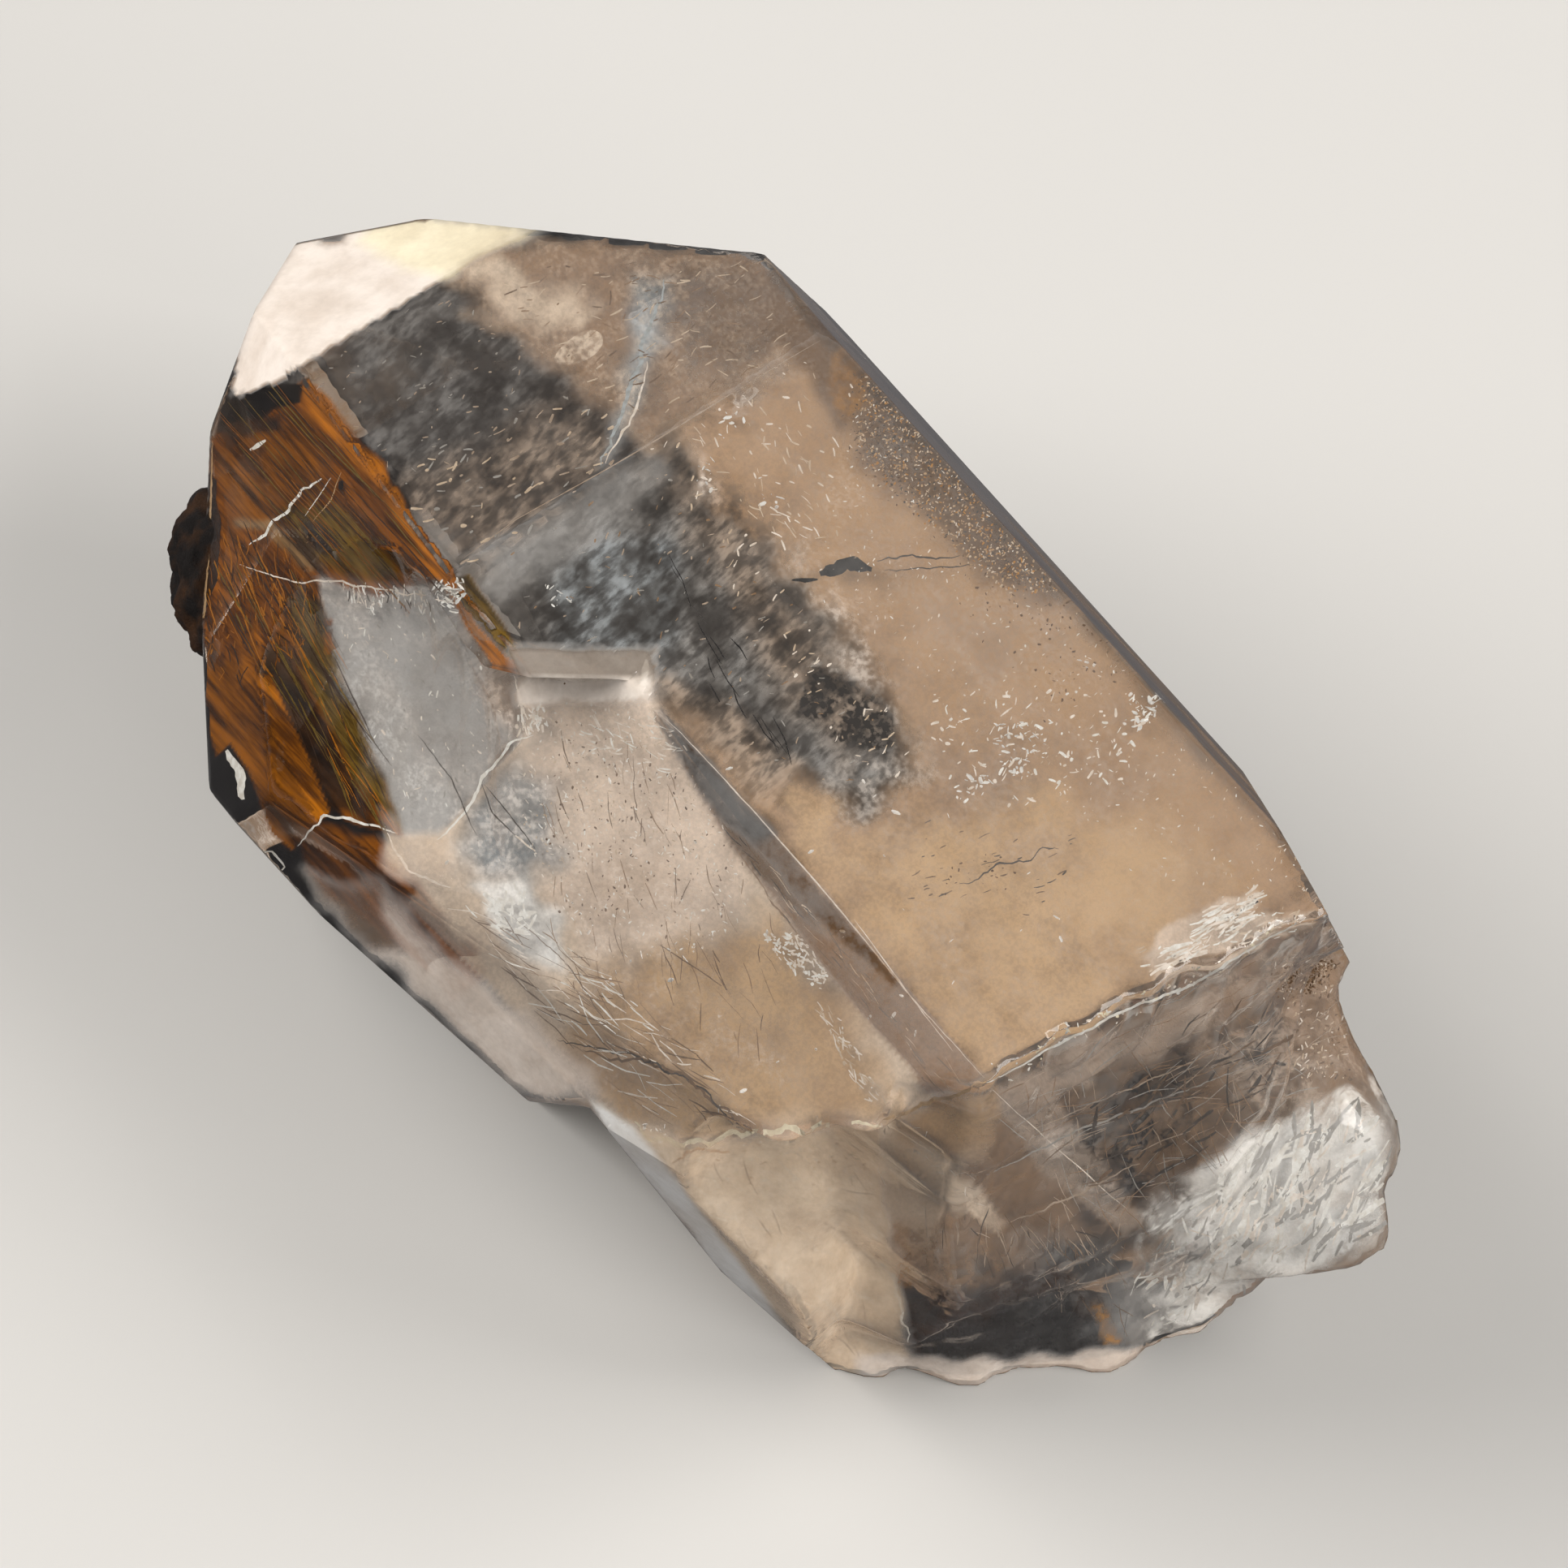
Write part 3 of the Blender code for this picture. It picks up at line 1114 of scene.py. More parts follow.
@dataclass(frozen=True)
class Wisps:
    """Many short hairs or flakes strewn inside an outline, most of them lying one way.

    way is their angle from the frame's right, and spread how far they turn from it, in degrees.
    """

    seed: int
    corners: Path
    tones: tuple[Tone, ...]
    count: int
    lengths: Pair
    widths: Pair
    way: float = GROWTH
    spread: float = 8.0
    bow: float = 0.08
    wave: float = 0.02
    tries: int = 6

    def threads(self) -> Iterable[Thread]:
        """Yield each hair as a short thread of one tone."""
        pick = random.Random(self.seed)
        outline = Outline(self.corners)
        low, high = np.min(self.corners, axis=0), np.max(self.corners, axis=0)
        spots = [
            [pick.uniform(low[0], high[0]), pick.uniform(low[1], high[1])]
            for _ in range(self.tries * self.count)
        ]
        inside = [Vector(spots[index]) for index in np.flatnonzero(outline.depth(np.array(spots)) > 0.0)]
        for middle in inside[:self.count]:
            turn = math.radians(pick.gauss(self.way, self.spread))
            along = Vector((math.cos(turn), math.sin(turn))) * pick.uniform(*self.lengths)
            bowed = middle + along.orthogonal() * pick.uniform(-self.bow, self.bow)
            path = tuple(tuple(place) for place in (middle - 0.5 * along, bowed, middle + 0.5 * along))
            yield Thread(path, pick.choice(self.tones), pick.uniform(*self.widths), self.wave)


@dataclass
class Threads:
    """A set of thin lines close under the skin."""

    name: str
    threads: tuple[Thread, ...]
    depth: float = 0.12
    step: float = 0.14
    least_facing: float = 0.25
    longest_gap: float = 0.7

    def build(self, skin: Skin) -> Item:
        """Make every line as a narrow ribbon, its tone on its corners.

        Args:
            skin: The crystal's skin, which the lines lie under.

        Returns:
            The ribbons, as one mesh.
        """
        back = SIGHT.axes()[2]
        mesh = bmesh.new()
        tones = []
        for thread in self.threads:
            last = None
            for pair in thread.rows(self.step):
                found = [skin.under(spot, self.depth) for spot in pair]
                if None in found or min(normal.dot(back) for _, normal in found) < self.least_facing:
                    last = None
                    continue
                corners = [mesh.verts.new(place) for place, _ in found]
                tones += [thread.tone.value] * 2
                if last is not None and (corners[0].co - last[0].co).length < self.longest_gap:
                    mesh.faces.new((last[0], corners[0], corners[1], last[1]))
                last = corners
        item = new_object(self.name, mesh)
        write_tones(item.data, np.array(tones))
        return item


def scatter_tree() -> bpy.types.NodeTree:
    """Build the tree that strews flat grains over a sheet, thickest where its cover is high."""
    tree = bpy.data.node_groups.new("strew_grains", "GeometryNodeTree")
    kinds = {
        "Sheet": "Geometry", "Grain": "Object", "Per Square Metre": "Float", "Least Size": "Float",
        "Most Size": "Float", "Seed": "Int", "Finish": "Material",
    }
    for name, kind in kinds.items():
        tree.interface.new_socket(name, in_out="INPUT", socket_type="NodeSocket" + kind)
    tree.interface.new_socket("Grains", in_out="OUTPUT", socket_type="NodeSocketGeometry")
    nodes = Nodes(tree)
    given = nodes.add("NodeGroupInput").outputs

    def drawn(kind: str, low: object, high: object, seed: object) -> Socket:
        """Return a random value of one kind, between two others.

        Args:
            kind: The value's kind.
            low: The least value.
            high: The most.
            seed: Sets which values are drawn.

        Returns:
            The value.
        """
        node = nodes.add("FunctionNodeRandomValue", {"Seed": seed}, data_type=kind)
        shown = {socket.name: socket for socket in node.inputs if socket.enabled}
        nodes.feed(shown["Min"], low)
        nodes.feed(shown["Max"], high)
        return next(socket for socket in node.outputs if socket.enabled)

    cover = nodes.add("GeometryNodeInputNamedAttribute", {"Name": "cover"}, data_type="FLOAT")
    covered = next(socket for socket in cover.outputs if socket.enabled)
    fed = {0: covered, 1: given["Per Square Metre"]}
    density = nodes.add("ShaderNodeMath", fed, operation="MULTIPLY").outputs[0]
    fed = {"Mesh": given["Sheet"], "Density": density, "Seed": given["Seed"]}
    points = nodes.add("GeometryNodeDistributePointsOnFaces", fed)
    grain = nodes.add("GeometryNodeObjectInfo", {"Object": given["Grain"]})
    placed = nodes.add("GeometryNodeInstanceOnPoints", {
        "Points": points.outputs["Points"],
        "Instance": grain.outputs["Geometry"],
        "Rotation": drawn("FLOAT_VECTOR", (0.0, 0.0, 0.0), (math.tau, math.tau, math.tau), 0),
        "Scale": drawn("FLOAT", given["Least Size"], given["Most Size"], given["Seed"]),
    })
    real = nodes.add("GeometryNodeRealizeInstances", {"Geometry": placed.outputs["Instances"]})
    fed = {"Geometry": real.outputs["Geometry"], "Material": given["Finish"]}
    finished = nodes.add("GeometryNodeSetMaterial", fed).outputs["Geometry"]
    nodes.add("NodeGroupOutput", {"Grains": finished})
    return tree


@dataclass
class Grains:
    """Small grains strewn over strokes: glints, specks, pits or beads."""

    name: str
    strokes: tuple[Stroke, ...]
    per_mm2: float
    sizes: Pair
    shape: Triple = (1.0, 0.7, 0.25)
    depth: float = 0.3
    swell: float = 0.0
    seed: int = 1
    pitch: float = 0.3
    uneven: float = 0.35
    lumps_per_unit: float = 2.3

    def grain(self) -> Item:
        """Make one grain of unit size."""
        mesh = bmesh.new()
        bmesh.ops.create_icosphere(mesh, subdivisions=1, radius=1.0)
        for corner in mesh.verts:
            lump = noise.noise(corner.co * self.lumps_per_unit + Vector((self.seed, 0.0, 0.0)))
            shaped = Vector([part * side for part, side in zip(corner.co, self.shape)])
            corner.co = shaped * (1.0 + self.uneven * lump)
        return new_object(self.name + "_grain", mesh)

    def build(self, skin: Skin, tree: bpy.types.NodeTree, finish: bpy.types.Material) -> Item:
        """Strew the grains, and make one plain mesh of them.

        Args:
            skin: The crystal's skin, which the grains lie under.
            tree: The tree that strews them.
            finish: Their material.

        Returns:
            The grains.
        """
        ground = Veil(self.name, self.strokes, self.depth, self.swell, pitch=self.pitch, seed=self.seed)
        sheet = ground.build(skin)
        grain = self.grain()
        strewing = sheet.modifiers.new("strewing", "NODES")
        strewing.node_group = tree
        values = {
            "Grain": grain, "Per Square Metre": self.per_mm2, "Least Size": self.sizes[0],
            "Most Size": self.sizes[1], "Seed": self.seed, "Finish": finish,
        }
        for item in tree.interface.items_tree:
            if item.name in values:
                strewing[item.identifier] = values[item.name]
        bake_modifiers(sheet)
        bpy.data.objects.remove(grain, do_unlink=True)
        return sheet


@dataclass(frozen=True)
class PlainFinish:
    """One solid material whose colour is the corner's tone or its own, mottled a little."""

    name: str
    tone: Tone | None = None
    roughness: float = 0.45
    metal: float = 0.0
    mottle: Colour = (0.7, 0.66, 0.6, 1.0)
    mottle_per_mm: float = 3.0
    mottle_edge: Pair = (0.35, 0.65)

    def material(self) -> bpy.types.Material:
        """Return the finish as a material."""
        shader = Shader(self.name)
        tone = self.tone.value if self.tone else shader.attribute("tone", "Color")
        patches = shader.window(shader.noise(self.mottle_per_mm), *self.mottle_edge)
        return shader.finish(shader.solid({
            "Roughness": self.roughness,
            "Metallic": self.metal,
            "Base Color": shader.tinted(tone, shader.mix(patches, self.mottle, Tone.WHITE.value)),
        }))


@dataclass(frozen=True)
class VeilFinish:
    """What fills a sheet: milky cloud, pale flecks or fibres of iron.

    clumps and flecks set how strongly coarse and fine patterns break the sheet up, each from 0
    to 1. Patterns are stretched along the crystal, or along a line turned from it.
    """

    name: str
    clump_per_mm: float = 0.6
    clumps: float = 0.3
    fleck_per_mm: float = 3.0
    flecks: float = 0.2
    stretch: Triple = EVEN
    turn: float = 0.0
    clump_edge: Pair = (0.32, 0.68)
    fleck_edge: Pair = (0.36, 0.66)
    dark: Colour = (0.74, 0.70, 0.66, 1.0)
    light: Colour = (1.06, 1.06, 1.06, 1.0)
    tint_per_mm: float = 0.0
    roughness: float = 0.55
    sheen: float = 0.0

    def broken(self, shader: Shader, cover: Socket, pattern: object, share: float) -> object:
        """Return the cover, thinned where the pattern is low and thickened where it is high."""
        swing = shader.times(shader.less(pattern, 0.5), 2.0 * share)
        return shader.times(cover, shader.plus(swing, 1.0), clamp=True)

    def material(self) -> bpy.types.Material:
        """Return the finish as a material."""
        shader = Shader(self.name, seen=True)
        lumps = shader.noise(self.clump_per_mm, 3.0, 0.6)
        specks = shader.noise(self.fleck_per_mm, 2.0, 0.6, self.stretch, self.turn)
        cover = shader.attribute("cover")
        cover = self.broken(shader, cover, shader.window(lumps, *self.clump_edge), self.clumps)
        cover = self.broken(shader, cover, shader.window(specks, *self.fleck_edge), self.flecks)
        tints = lumps
        if self.tint_per_mm:
            tints = shader.noise(self.tint_per_mm, 4.0, 0.65, self.stretch)
        tint = shader.mix(shader.window(tints, *self.clump_edge), self.dark, self.light)
        return shader.finish(shader.solid({
            "Roughness": self.roughness,
            "Specular IOR Level": self.sheen,
            "Base Color": shader.tinted(shader.attribute("tone", "Color"), tint),
            "Alpha": cover,
        }))


@dataclass(frozen=True)
class Softbox:
    """A square soft light that looks at the stone: where it hangs and its side, in metres.

    mirrored says whether it is seen in and through the stone's faces.
    """

    name: str
    place: Triple
    size: float
    watts: float
    mirrored: bool = False
    colour: Triple = (1.0, 0.975, 0.94)

    def hang(self) -> None:
        """Hang the light."""
        data = bpy.data.lights.new(self.name, "AREA")
        data.size = self.size
        data.energy = self.watts
        data.color = self.colour
        item = place_object(self.name, data)
        item.visible_glossy = self.mirrored
        item.visible_transmission = self.mirrored
        item.location = self.place
        item.rotation_mode = "QUATERNION"
        item.rotation_quaternion = (-Vector(self.place)).to_track_quat("-Z", "Y")


@dataclass
class Studio:
    """A plain pale floor, soft lights, a pale room and the camera."""

    floor_half: float = 1.5
    floor_roughness: float = 0.8
    floor_colour: Colour = linear(203, 201, 198)
    floor_in_stone: Colour = linear(88, 86, 88)
    boxes: tuple[Softbox, ...] = (
        Softbox("key", (0.30, 0.38, 0.62), 0.45, 3.7, mirrored=True),
        Softbox("root_light", (0.55, 0.05, 0.12), 0.35, 2.7),
        Softbox("fill", (-0.45, -0.40, 0.45), 0.5, 6.9),
    )
    room_colour: Colour = (0.8, 0.8, 0.79, 1.0)
    low_light: Colour = (0.62, 0.62, 0.62, 1.0)
    high_light: Colour = (0.10, 0.105, 0.11, 1.0)
    light_rise: Pair = (-0.05, 0.55)
    frame_width: float = 61.4
    distance: float = 2.0
    sensor: float = 36.0
    farthest: float = 10.0
    cycles: dict[str, bool | int] = field(default_factory=lambda: {
        "caustics_refractive": False, "caustics_reflective": False, "max_bounces": 5,
        "diffuse_bounces": 1, "glossy_bounces": 3, "transmission_bounces": 5,
        "transparent_max_bounces": 12,
    })

    def floor(self) -> None:
        """Lay the floor, paler to the camera than in the stone."""
        mesh = bmesh.new()
        bmesh.ops.create_grid(mesh, x_segments=8, y_segments=8, size=self.floor_half)
        data = bpy.data.meshes.new("floor")
        mesh.to_mesh(data)
        mesh.free()
        shader = Shader("floor")
        seen = shader.add("ShaderNodeLightPath").outputs["Is Camera Ray"]
        paint = shader.solid({
            "Roughness": self.floor_roughness,
            "Base Color": shader.mix(seen, self.floor_in_stone, self.floor_colour),
        })
        data.materials.append(shader.finish(paint))
        item = place_object("floor", data)

    def world(self) -> None:
        """Make a pale room that lights the stone only faintly."""
        room = bpy.data.worlds.new("room")
        bpy.context.scene.world = room
        room.use_nodes = True
        nodes = Nodes(room.node_tree)
        way = nodes.add("ShaderNodeTexCoord").outputs["Generated"]
        up = nodes.add("ShaderNodeSeparateXYZ", {0: way}).outputs["Z"]
        low, high = self.light_rise
        rise = nodes.add("ShaderNodeMapRange", {"Value": up, "From Min": low, "From Max": high}).outputs[0]
        lit = nodes.add("ShaderNodeBackground", {0: nodes.mix(rise, self.low_light, self.high_light)})
        seen = nodes.add("ShaderNodeBackground", {0: self.room_colour})
        camera_ray = nodes.add("ShaderNodeLightPath").outputs["Is Camera Ray"]
        nodes.add("ShaderNodeOutputWorld", {0: nodes.switch(camera_ray, lit, seen).outputs[0]})

    def camera(self, middle: Vector) -> None:
        """Set up the camera, far off behind a long lens, looking at a point in metres.

        Args:
            middle: The point to look at.
        """
        data = bpy.data.cameras.new("camera")
        item = place_object("camera", data)
        right, up, back = SIGHT.axes()
        turned = Matrix((right, up, back)).transposed().to_4x4()
        item.matrix_world = Matrix.Translation(middle + back * self.distance) @ turned
        data.sensor_width = self.sensor
        data.lens = self.sensor * self.distance / (self.frame_width * MM)
        data.clip_end = self.farthest
        bpy.context.scene.camera = item

    def build(self, middle: Vector) -> None:
        """Make the whole studio round a point in metres.

        Args:
            middle: The point that the camera looks at.
        """
        self.floor()
        for box in self.boxes:
            box.hang()
        self.world()
        self.camera(middle)
        bpy.context.scene.view_settings.view_transform = "Standard"
        for name, value in self.cycles.items():
            setattr(bpy.context.scene.cycles, name, value)
        log.info("studio: floor, %d lights, room and camera", len(self.boxes))


SKIN = made(
    Stroke,
    # The point: a pale end painted bright as a painted reflection of light carried along the stone, a dark
    # window, and a brown haze on the right.
    (((-21.5, 15.1), (-21.2, 18), (-19.7, 21), (-18.6, 22), (-15.8, 22.6), (-9.7, 21.8), (-9.9, 21.5),
      (-13.5, 19.6), (-19.8, 15.7)), Tone.PALE, 0.93, 0.1, 0.02, 0, 0.95),
    (((-16.7, 21.2), (-15.8, 22.4), (-9.4, 21.8), (-13.1, 19.7), (-14.8, 20.2)),
     Tone.CREAM, 0.95, 0.7, 0.2, 0, 0.95),
    (((-18.5, 22), (-17, 22.2), (-17.2, 21.2), (-18, 21.1)), Tone.TAUPE, 0.7, 0.5, 0.1),
    (((-11.6, 20.6), (-9.8, 21.5), (-0.5, 20.8), (1.4, 17.4), (-5.3, 13.1), (-6.9, 14.2), (-13, 19.6)),
     Tone.TAUPE, 0.82, 1, 0.6),
    (((-12.6, 19.7), (-11, 20.4), (-7.3, 18.5), (-8, 17.7), (-10.4, 18.1), (-12.3, 19.1)),
     Tone.MILK, 0.82, 1.1, 0.9),
    (((-5.3, 20.2), (-1.1, 20.5), (1.1, 17.7), (-2.1, 15.8), (-4.6, 16.7)), Tone.BROWN, 0.82, 1.6, 0.9),
    (((-5.9, 19.7), (-4.3, 19.7), (-4.8, 16.7), (-6.5, 12.9), (-7, 12.3), (-6.2, 15.8)),
     Tone.BLUE_GREY, 0.5, 0.9, 0.4),
    # The long upper face: beige cloud round a dark window.
    (((-3.4, 14), (1.5, 17.2), (3, 16.5), (7.9, 11.3), (13.8, 4), (18.9, -1.4), (21.4, -5.4), (18.2, -5.9),
      (13.8, -8.1), (11.9, -9.4), (7.8, -11.4), (-4.6, 2.6), (-2.7, 1.6), (-1.1, -0.1), (3, -1.1),
      (5.4, 0.5), (3.8, 4), (-1.5, 11)), Tone.BEIGE, 0.88, 2, 0.9),
    (((1.1, -2.4), (9, -0.4), (13.8, -1.1), (17, -3.6), (14.4, -7.4), (7.8, -11.3), (3.6, -6.8)),
     Tone.TAN, 0.9, 2.2, 0.8),
    (((2.7, 16.3), (4.6, 15.4), (7.9, 11.6), (10.6, 7.5), (8.7, 7.2), (5.8, 9.7), (2.7, 12.9)),
     Tone.BROWN, 0.9, 1.4, 0.8),
    (((-0.8, 20.1), (1.1, 18), (3.1, 16.4), (3.5, 15.8), (2.9, 14.3), (2, 13.4), (1.2, 15.1), (-0.8, 18)),
     Tone.BROWN, 0.95, 0.8, 0.4),
    (((-4, 13.9), (-1.1, 14.8), (1.7, 12.9), (2, 10.4), (-0.2, 10), (-2.7, 11.6)),
     Tone.BEIGE, 0.8, 1.2, 0.7),
    (((0.3, -0.3), (1.9, -0.6), (1.7, -3), (0.6, -3)), Tone.TAN, 0.85, 0.8, 0.4),
    (((-11.9, 8.8), (-5.3, 12.9), (-4.3, 11.6), (-8.5, 8.5), (-11, 7.2)), Tone.ASH, 0.35, 0.8, 0.5),
    # The stepped front face: frosted above, beige below.
    (((-13.5, -2.2), (-9.9, 2), (-10, 3.4), (-10.4, 4.2), (-5.3, 4.1), (-4.9, 2.8), (-2.1, -2),
      (6.2, -11.9), (3.9, -13), (-3.7, -13.9), (-5.9, -13.2), (-7.3, -12), (-14.5, -4.6)),
     Tone.MILK, 0.86, 0.16, 0.08, 0.08, 0.12),
    (((-10.4, 4.2), (-5.3, 4.1), (-4.9, 2.8), (-2.1, -1.4), (-1.1, -4.3), (-3.4, -6.2), (-7.2, -6.8),
      (-9.1, -4.3), (-10.4, -1.4), (-9.9, 1.9)), Tone.FROST, 0.85, 1.2, 0.5, 0.16, 0.12),
    (((-12.4, -1.1), (-10.4, 0.8), (-8.8, -0.4), (-8.8, -3.3), (-10.4, -3.9), (-12.6, -3.3)),
     Tone.BLUE_GREY, 0.42, 1.6, 0.7, 0.05, 0.1),
    (((-7.8, -7.4), (-3.4, -5.8), (-0.2, -5.2), (3, -9.3), (4.3, -13), (-3.7, -13.9), (-5.9, -13.2),
      (-8.5, -10.6)), Tone.TAN, 0.88, 1.8, 0.8),
    (((-4.9, 2.9), (1.7, -4.3), (7.8, -11.4), (5.8, -11.9), (2.7, -8.5), (-2.5, -1.7), (-4.8, 2.4)),
     Tone.GROOVE, 0.93, 0.12, 0.02, 0.05, 0.3),
    (((-4.9, 2.9), (-1.3, -0.9), (4.9, -8.2), (2.4, -6.2), (-2.5, -1.5), (-4.8, 2.4)),
     Tone.BROWN, 0.9, 0.2, 0.06, 0, 0.4),
    (((-4.9, 2.9), (-0.3, -2), (-1.3, -2.5), (-3.1, -0.6), (-4.8, 2.4)), Tone.DUSK, 0.8, 0.5, 0.1, 0, 0.35),
    (((-2.5, -1.3), (-1.6, -1.9), (0.3, -4), (1.7, -5.8), (-1.9, -2.8)), Tone.BROWN, 0.75, 0.3, 0.2),
    # What fills the corner under the chip, with a painted white flare of light below it, and the ledge over
    # the front face.
    (((-15.4, -1.1), (-13.4, -1.4), (-12.7, -2.7), (-13.5, -4.3), (-15.4, -3.3)),
     Tone.MILK, 0.85, 0.5, 0.3, 0.05, 0.3),
    (((-11.9, -3.9), (-10, -3.6), (-8.8, -5.2), (-8.5, -7.1), (-10, -7.1), (-11.3, -5.8)),
     Tone.WHITE, 0.8, 0.7, 0.6, 0.05, 0.2),
    (((-10.6, 5.2), (-5, 5.2), (-5, 4.1), (-10.4, 4.1)), Tone.STONE, 0.8, 0.4, 0.1, 0, 0.75),
    # Painted fill light over the shadow band under the ledge.
    (((-10.4, 4.1), (-5.1, 4.1), (-5.1, 3.2), (-10.4, 3.1)), Tone.PEARL, 0.95, 0.3, 0.1, 0, 0.8),
    # The chip: a clear pale window with a soft dark rim.
    (((-18.1, 8.1), (-14.8, 7.8), (-12.9, 7.1), (-10.8, 4.6), (-10.5, 2.1), (-11.6, 0.2), (-13.4, -2),
      (-14.8, -1.9), (-17.7, 5.6)), Tone.ASH, 0.88, 0.35, 0.15),
    (((-12.9, 7.3), (-11.6, 6.2), (-10.4, 4.3), (-10.4, 1.9), (-11.3, 2.7), (-11.9, 5.3)),
     Tone.TAUPE, 0.5, 0.8, 0.2),
    # The lower left edge, painted pale, which also lifts the shade on its down-turned facets.
    (((-12.9, -6.8), (-10.4, -8.7), (-7.3, -11.9), (-10, -12.3), (-16.4, -6.2), (-18.6, -3.5),
      (-15.8, -3.9)), Tone.PALE, 0.88, 1, 0.5, 0.05, 0.5),
    (((-18.6, -3.5), (-15.8, -3.9), (-14.8, -6.8), (-16.4, -6.2)), Tone.TAUPE, 0.6, 0.6, 0.4, 0.05, 0.1),
    # The root: a smooth beige step, a dark clear middle and a bright frosted end, whose white is partly
    # frost and partly painted highlight.
    (((-7.3, -12.3), (-5.9, -13.2), (-3.7, -13.9), (3.9, -13.1), (4.9, -17), (4.4, -18.9), (5.5, -23.3),
      (1.1, -23.5), (0, -22.2), (-3.4, -17.7), (-6.7, -13.8)), Tone.WAX, 0.93, 0.5, 0.2, 0.1, 0.5),
    (((5.8, -12.2), (18.2, -6), (21.4, -5.5), (23.3, -11.9), (20.1, -13.8), (13.8, -17), (13.2, -22.7),
      (4.9, -23), (4.3, -13.3)), Tone.TAUPE, 0.04, 0.6, 0.3, 0.1, 0.9),
    (((3.9, -13.1), (7.8, -11.5), (10.6, -14.4), (11.6, -17.6), (9, -18.9), (5.2, -17.6)),
     Tone.TAUPE, 0.55, 0.8, 0.5, 0.06),
    (((3.6, -13.2), (5.8, -12.3), (7.6, -13.8), (6.8, -16.3), (5.5, -17.9), (4.1, -18.2)),
     Tone.MILK, 0.8, 0.6, 0.3),
    (((7.9, -11.7), (16, -8.2), (16.3, -9.3), (9, -12.8)), Tone.HAZE, 0.6, 0.5, 0.5),
    (((13.2, -18.9), (16.3, -16), (20.1, -13.5), (24, -12.5), (24, -17.6), (13.8, -22.4), (11.9, -21.4)),
     Tone.ASH, 0.45, 1.2, 0.6, 0.15, 0.2),
    (((16, -15.4), (17.9, -13.3), (22.7, -13.2), (23.3, -15.1), (21.4, -18.8), (16.3, -20.8), (14.7, -20.1),
      (16.7, -17)), Tone.WHITE, 0.8, 0.9, 0.8, 0.15, 0.2),
    (((18.9, -7.4), (22.7, -6.8), (22.7, -11.6), (20.1, -10.6)), Tone.TAUPE, 0.5, 1, 0.5, 0.2),
    (((3, -22.3), (9, -22.4), (14.4, -21.9), (14.4, -23.3), (3, -23.8)),
     Tone.PALE, 0.9, 0.3, 0.3, 0.15, 0.5),
    # Painted light: the step's left strip faces away from the lamps, and is painted near white to lift its
    # shade.
    (((-7.5, -12.2), (-5.8, -13.3), (-2.9, -17), (0.6, -21.9), (1.1, -23.5), (-0.2, -22.3), (-3.4, -17.7),
      (-6.7, -13.8)), Tone.WHITE, 0.93, 0.3, 0.1, 0.1, 0.9),
    (((3.8, -13.2), (4.9, -12.5), (8.7, -17), (8.3, -17.4), (4.9, -15.1)), Tone.MILK, 0.82, 0.16, 0.1),
    (((7.6, -11.7), (10.3, -12), (14, -17), (13.2, -17.4), (10.3, -15.4)), Tone.HAZE, 0.55, 0.16, 0.1),
    (((3.9, -13.1), (7.8, -11.6), (8.2, -12.8), (7.1, -14.7), (4.6, -13.8)), Tone.TAN, 0.6, 0.7, 0.4),
    # The streaked patch above the break: frost, partly painted glints.
    (((13.6, -6.3), (16.7, -4.6), (18.2, -3.9), (18.4, -5.1), (20.1, -4.8), (19.8, -5.8), (17, -6.3),
      (14.1, -7.4)), Tone.FROST, 0.86, 0.3, 0.7),
)


@dataclass
class Dressing:
    """The crystal's own skin: milky clouds, frosted growth and clear windows, with painted highlights and
    painted fill light in places.
    """

    strokes: tuple[Stroke, ...] = SKIN
    clear_until: float = -12.0
    clouding: float = 34.0
    least_cover: float = 0.06
    root_cover: float = 0.42
    drifts: tuple[Pair, Pair] = ((0.11, 21.0), (0.33, 5.0))
    fine_drift: float = 0.5
    drift_cover: float = 0.45
    most_cover: float = 0.85
    root_frost: float = 0.25
    drift_frost: float = 0.5

    def paint(self, crystal: Item) -> None:
        """Paint the crystal's skin, wild clouds first and the seen side over them.

        Args:
            crystal: The crystal, its mesh dense enough for paint.
        """
        data = crystal.data
        points = corner_array(data)
        towards_root = smooth_step((points[:, 0] - self.clear_until) / self.clouding)
        broad, fine = (wander(points, per_mm, seed) for per_mm, seed in self.drifts)
        drift = broad + self.fine_drift * fine
        cover = self.least_cover + self.root_cover * towards_root + self.drift_cover * drift
        cover = np.clip(cover, 0.0, self.most_cover)
        frost = np.clip(self.root_frost * towards_root + self.drift_frost * drift, 0.0, 1.0)
        seen = facing_camera(data)
        tone = np.tile(np.array(Tone.BEIGE.value), (len(points), 1))
        spots = SIGHT.spread(points)
        Painter(self.strokes).lay(data, spots, seen, cover * (1.0 - seen), frost * (1.0 - seen), tone)
        data.materials.clear()
        data.materials.append(QuartzFinish().material())


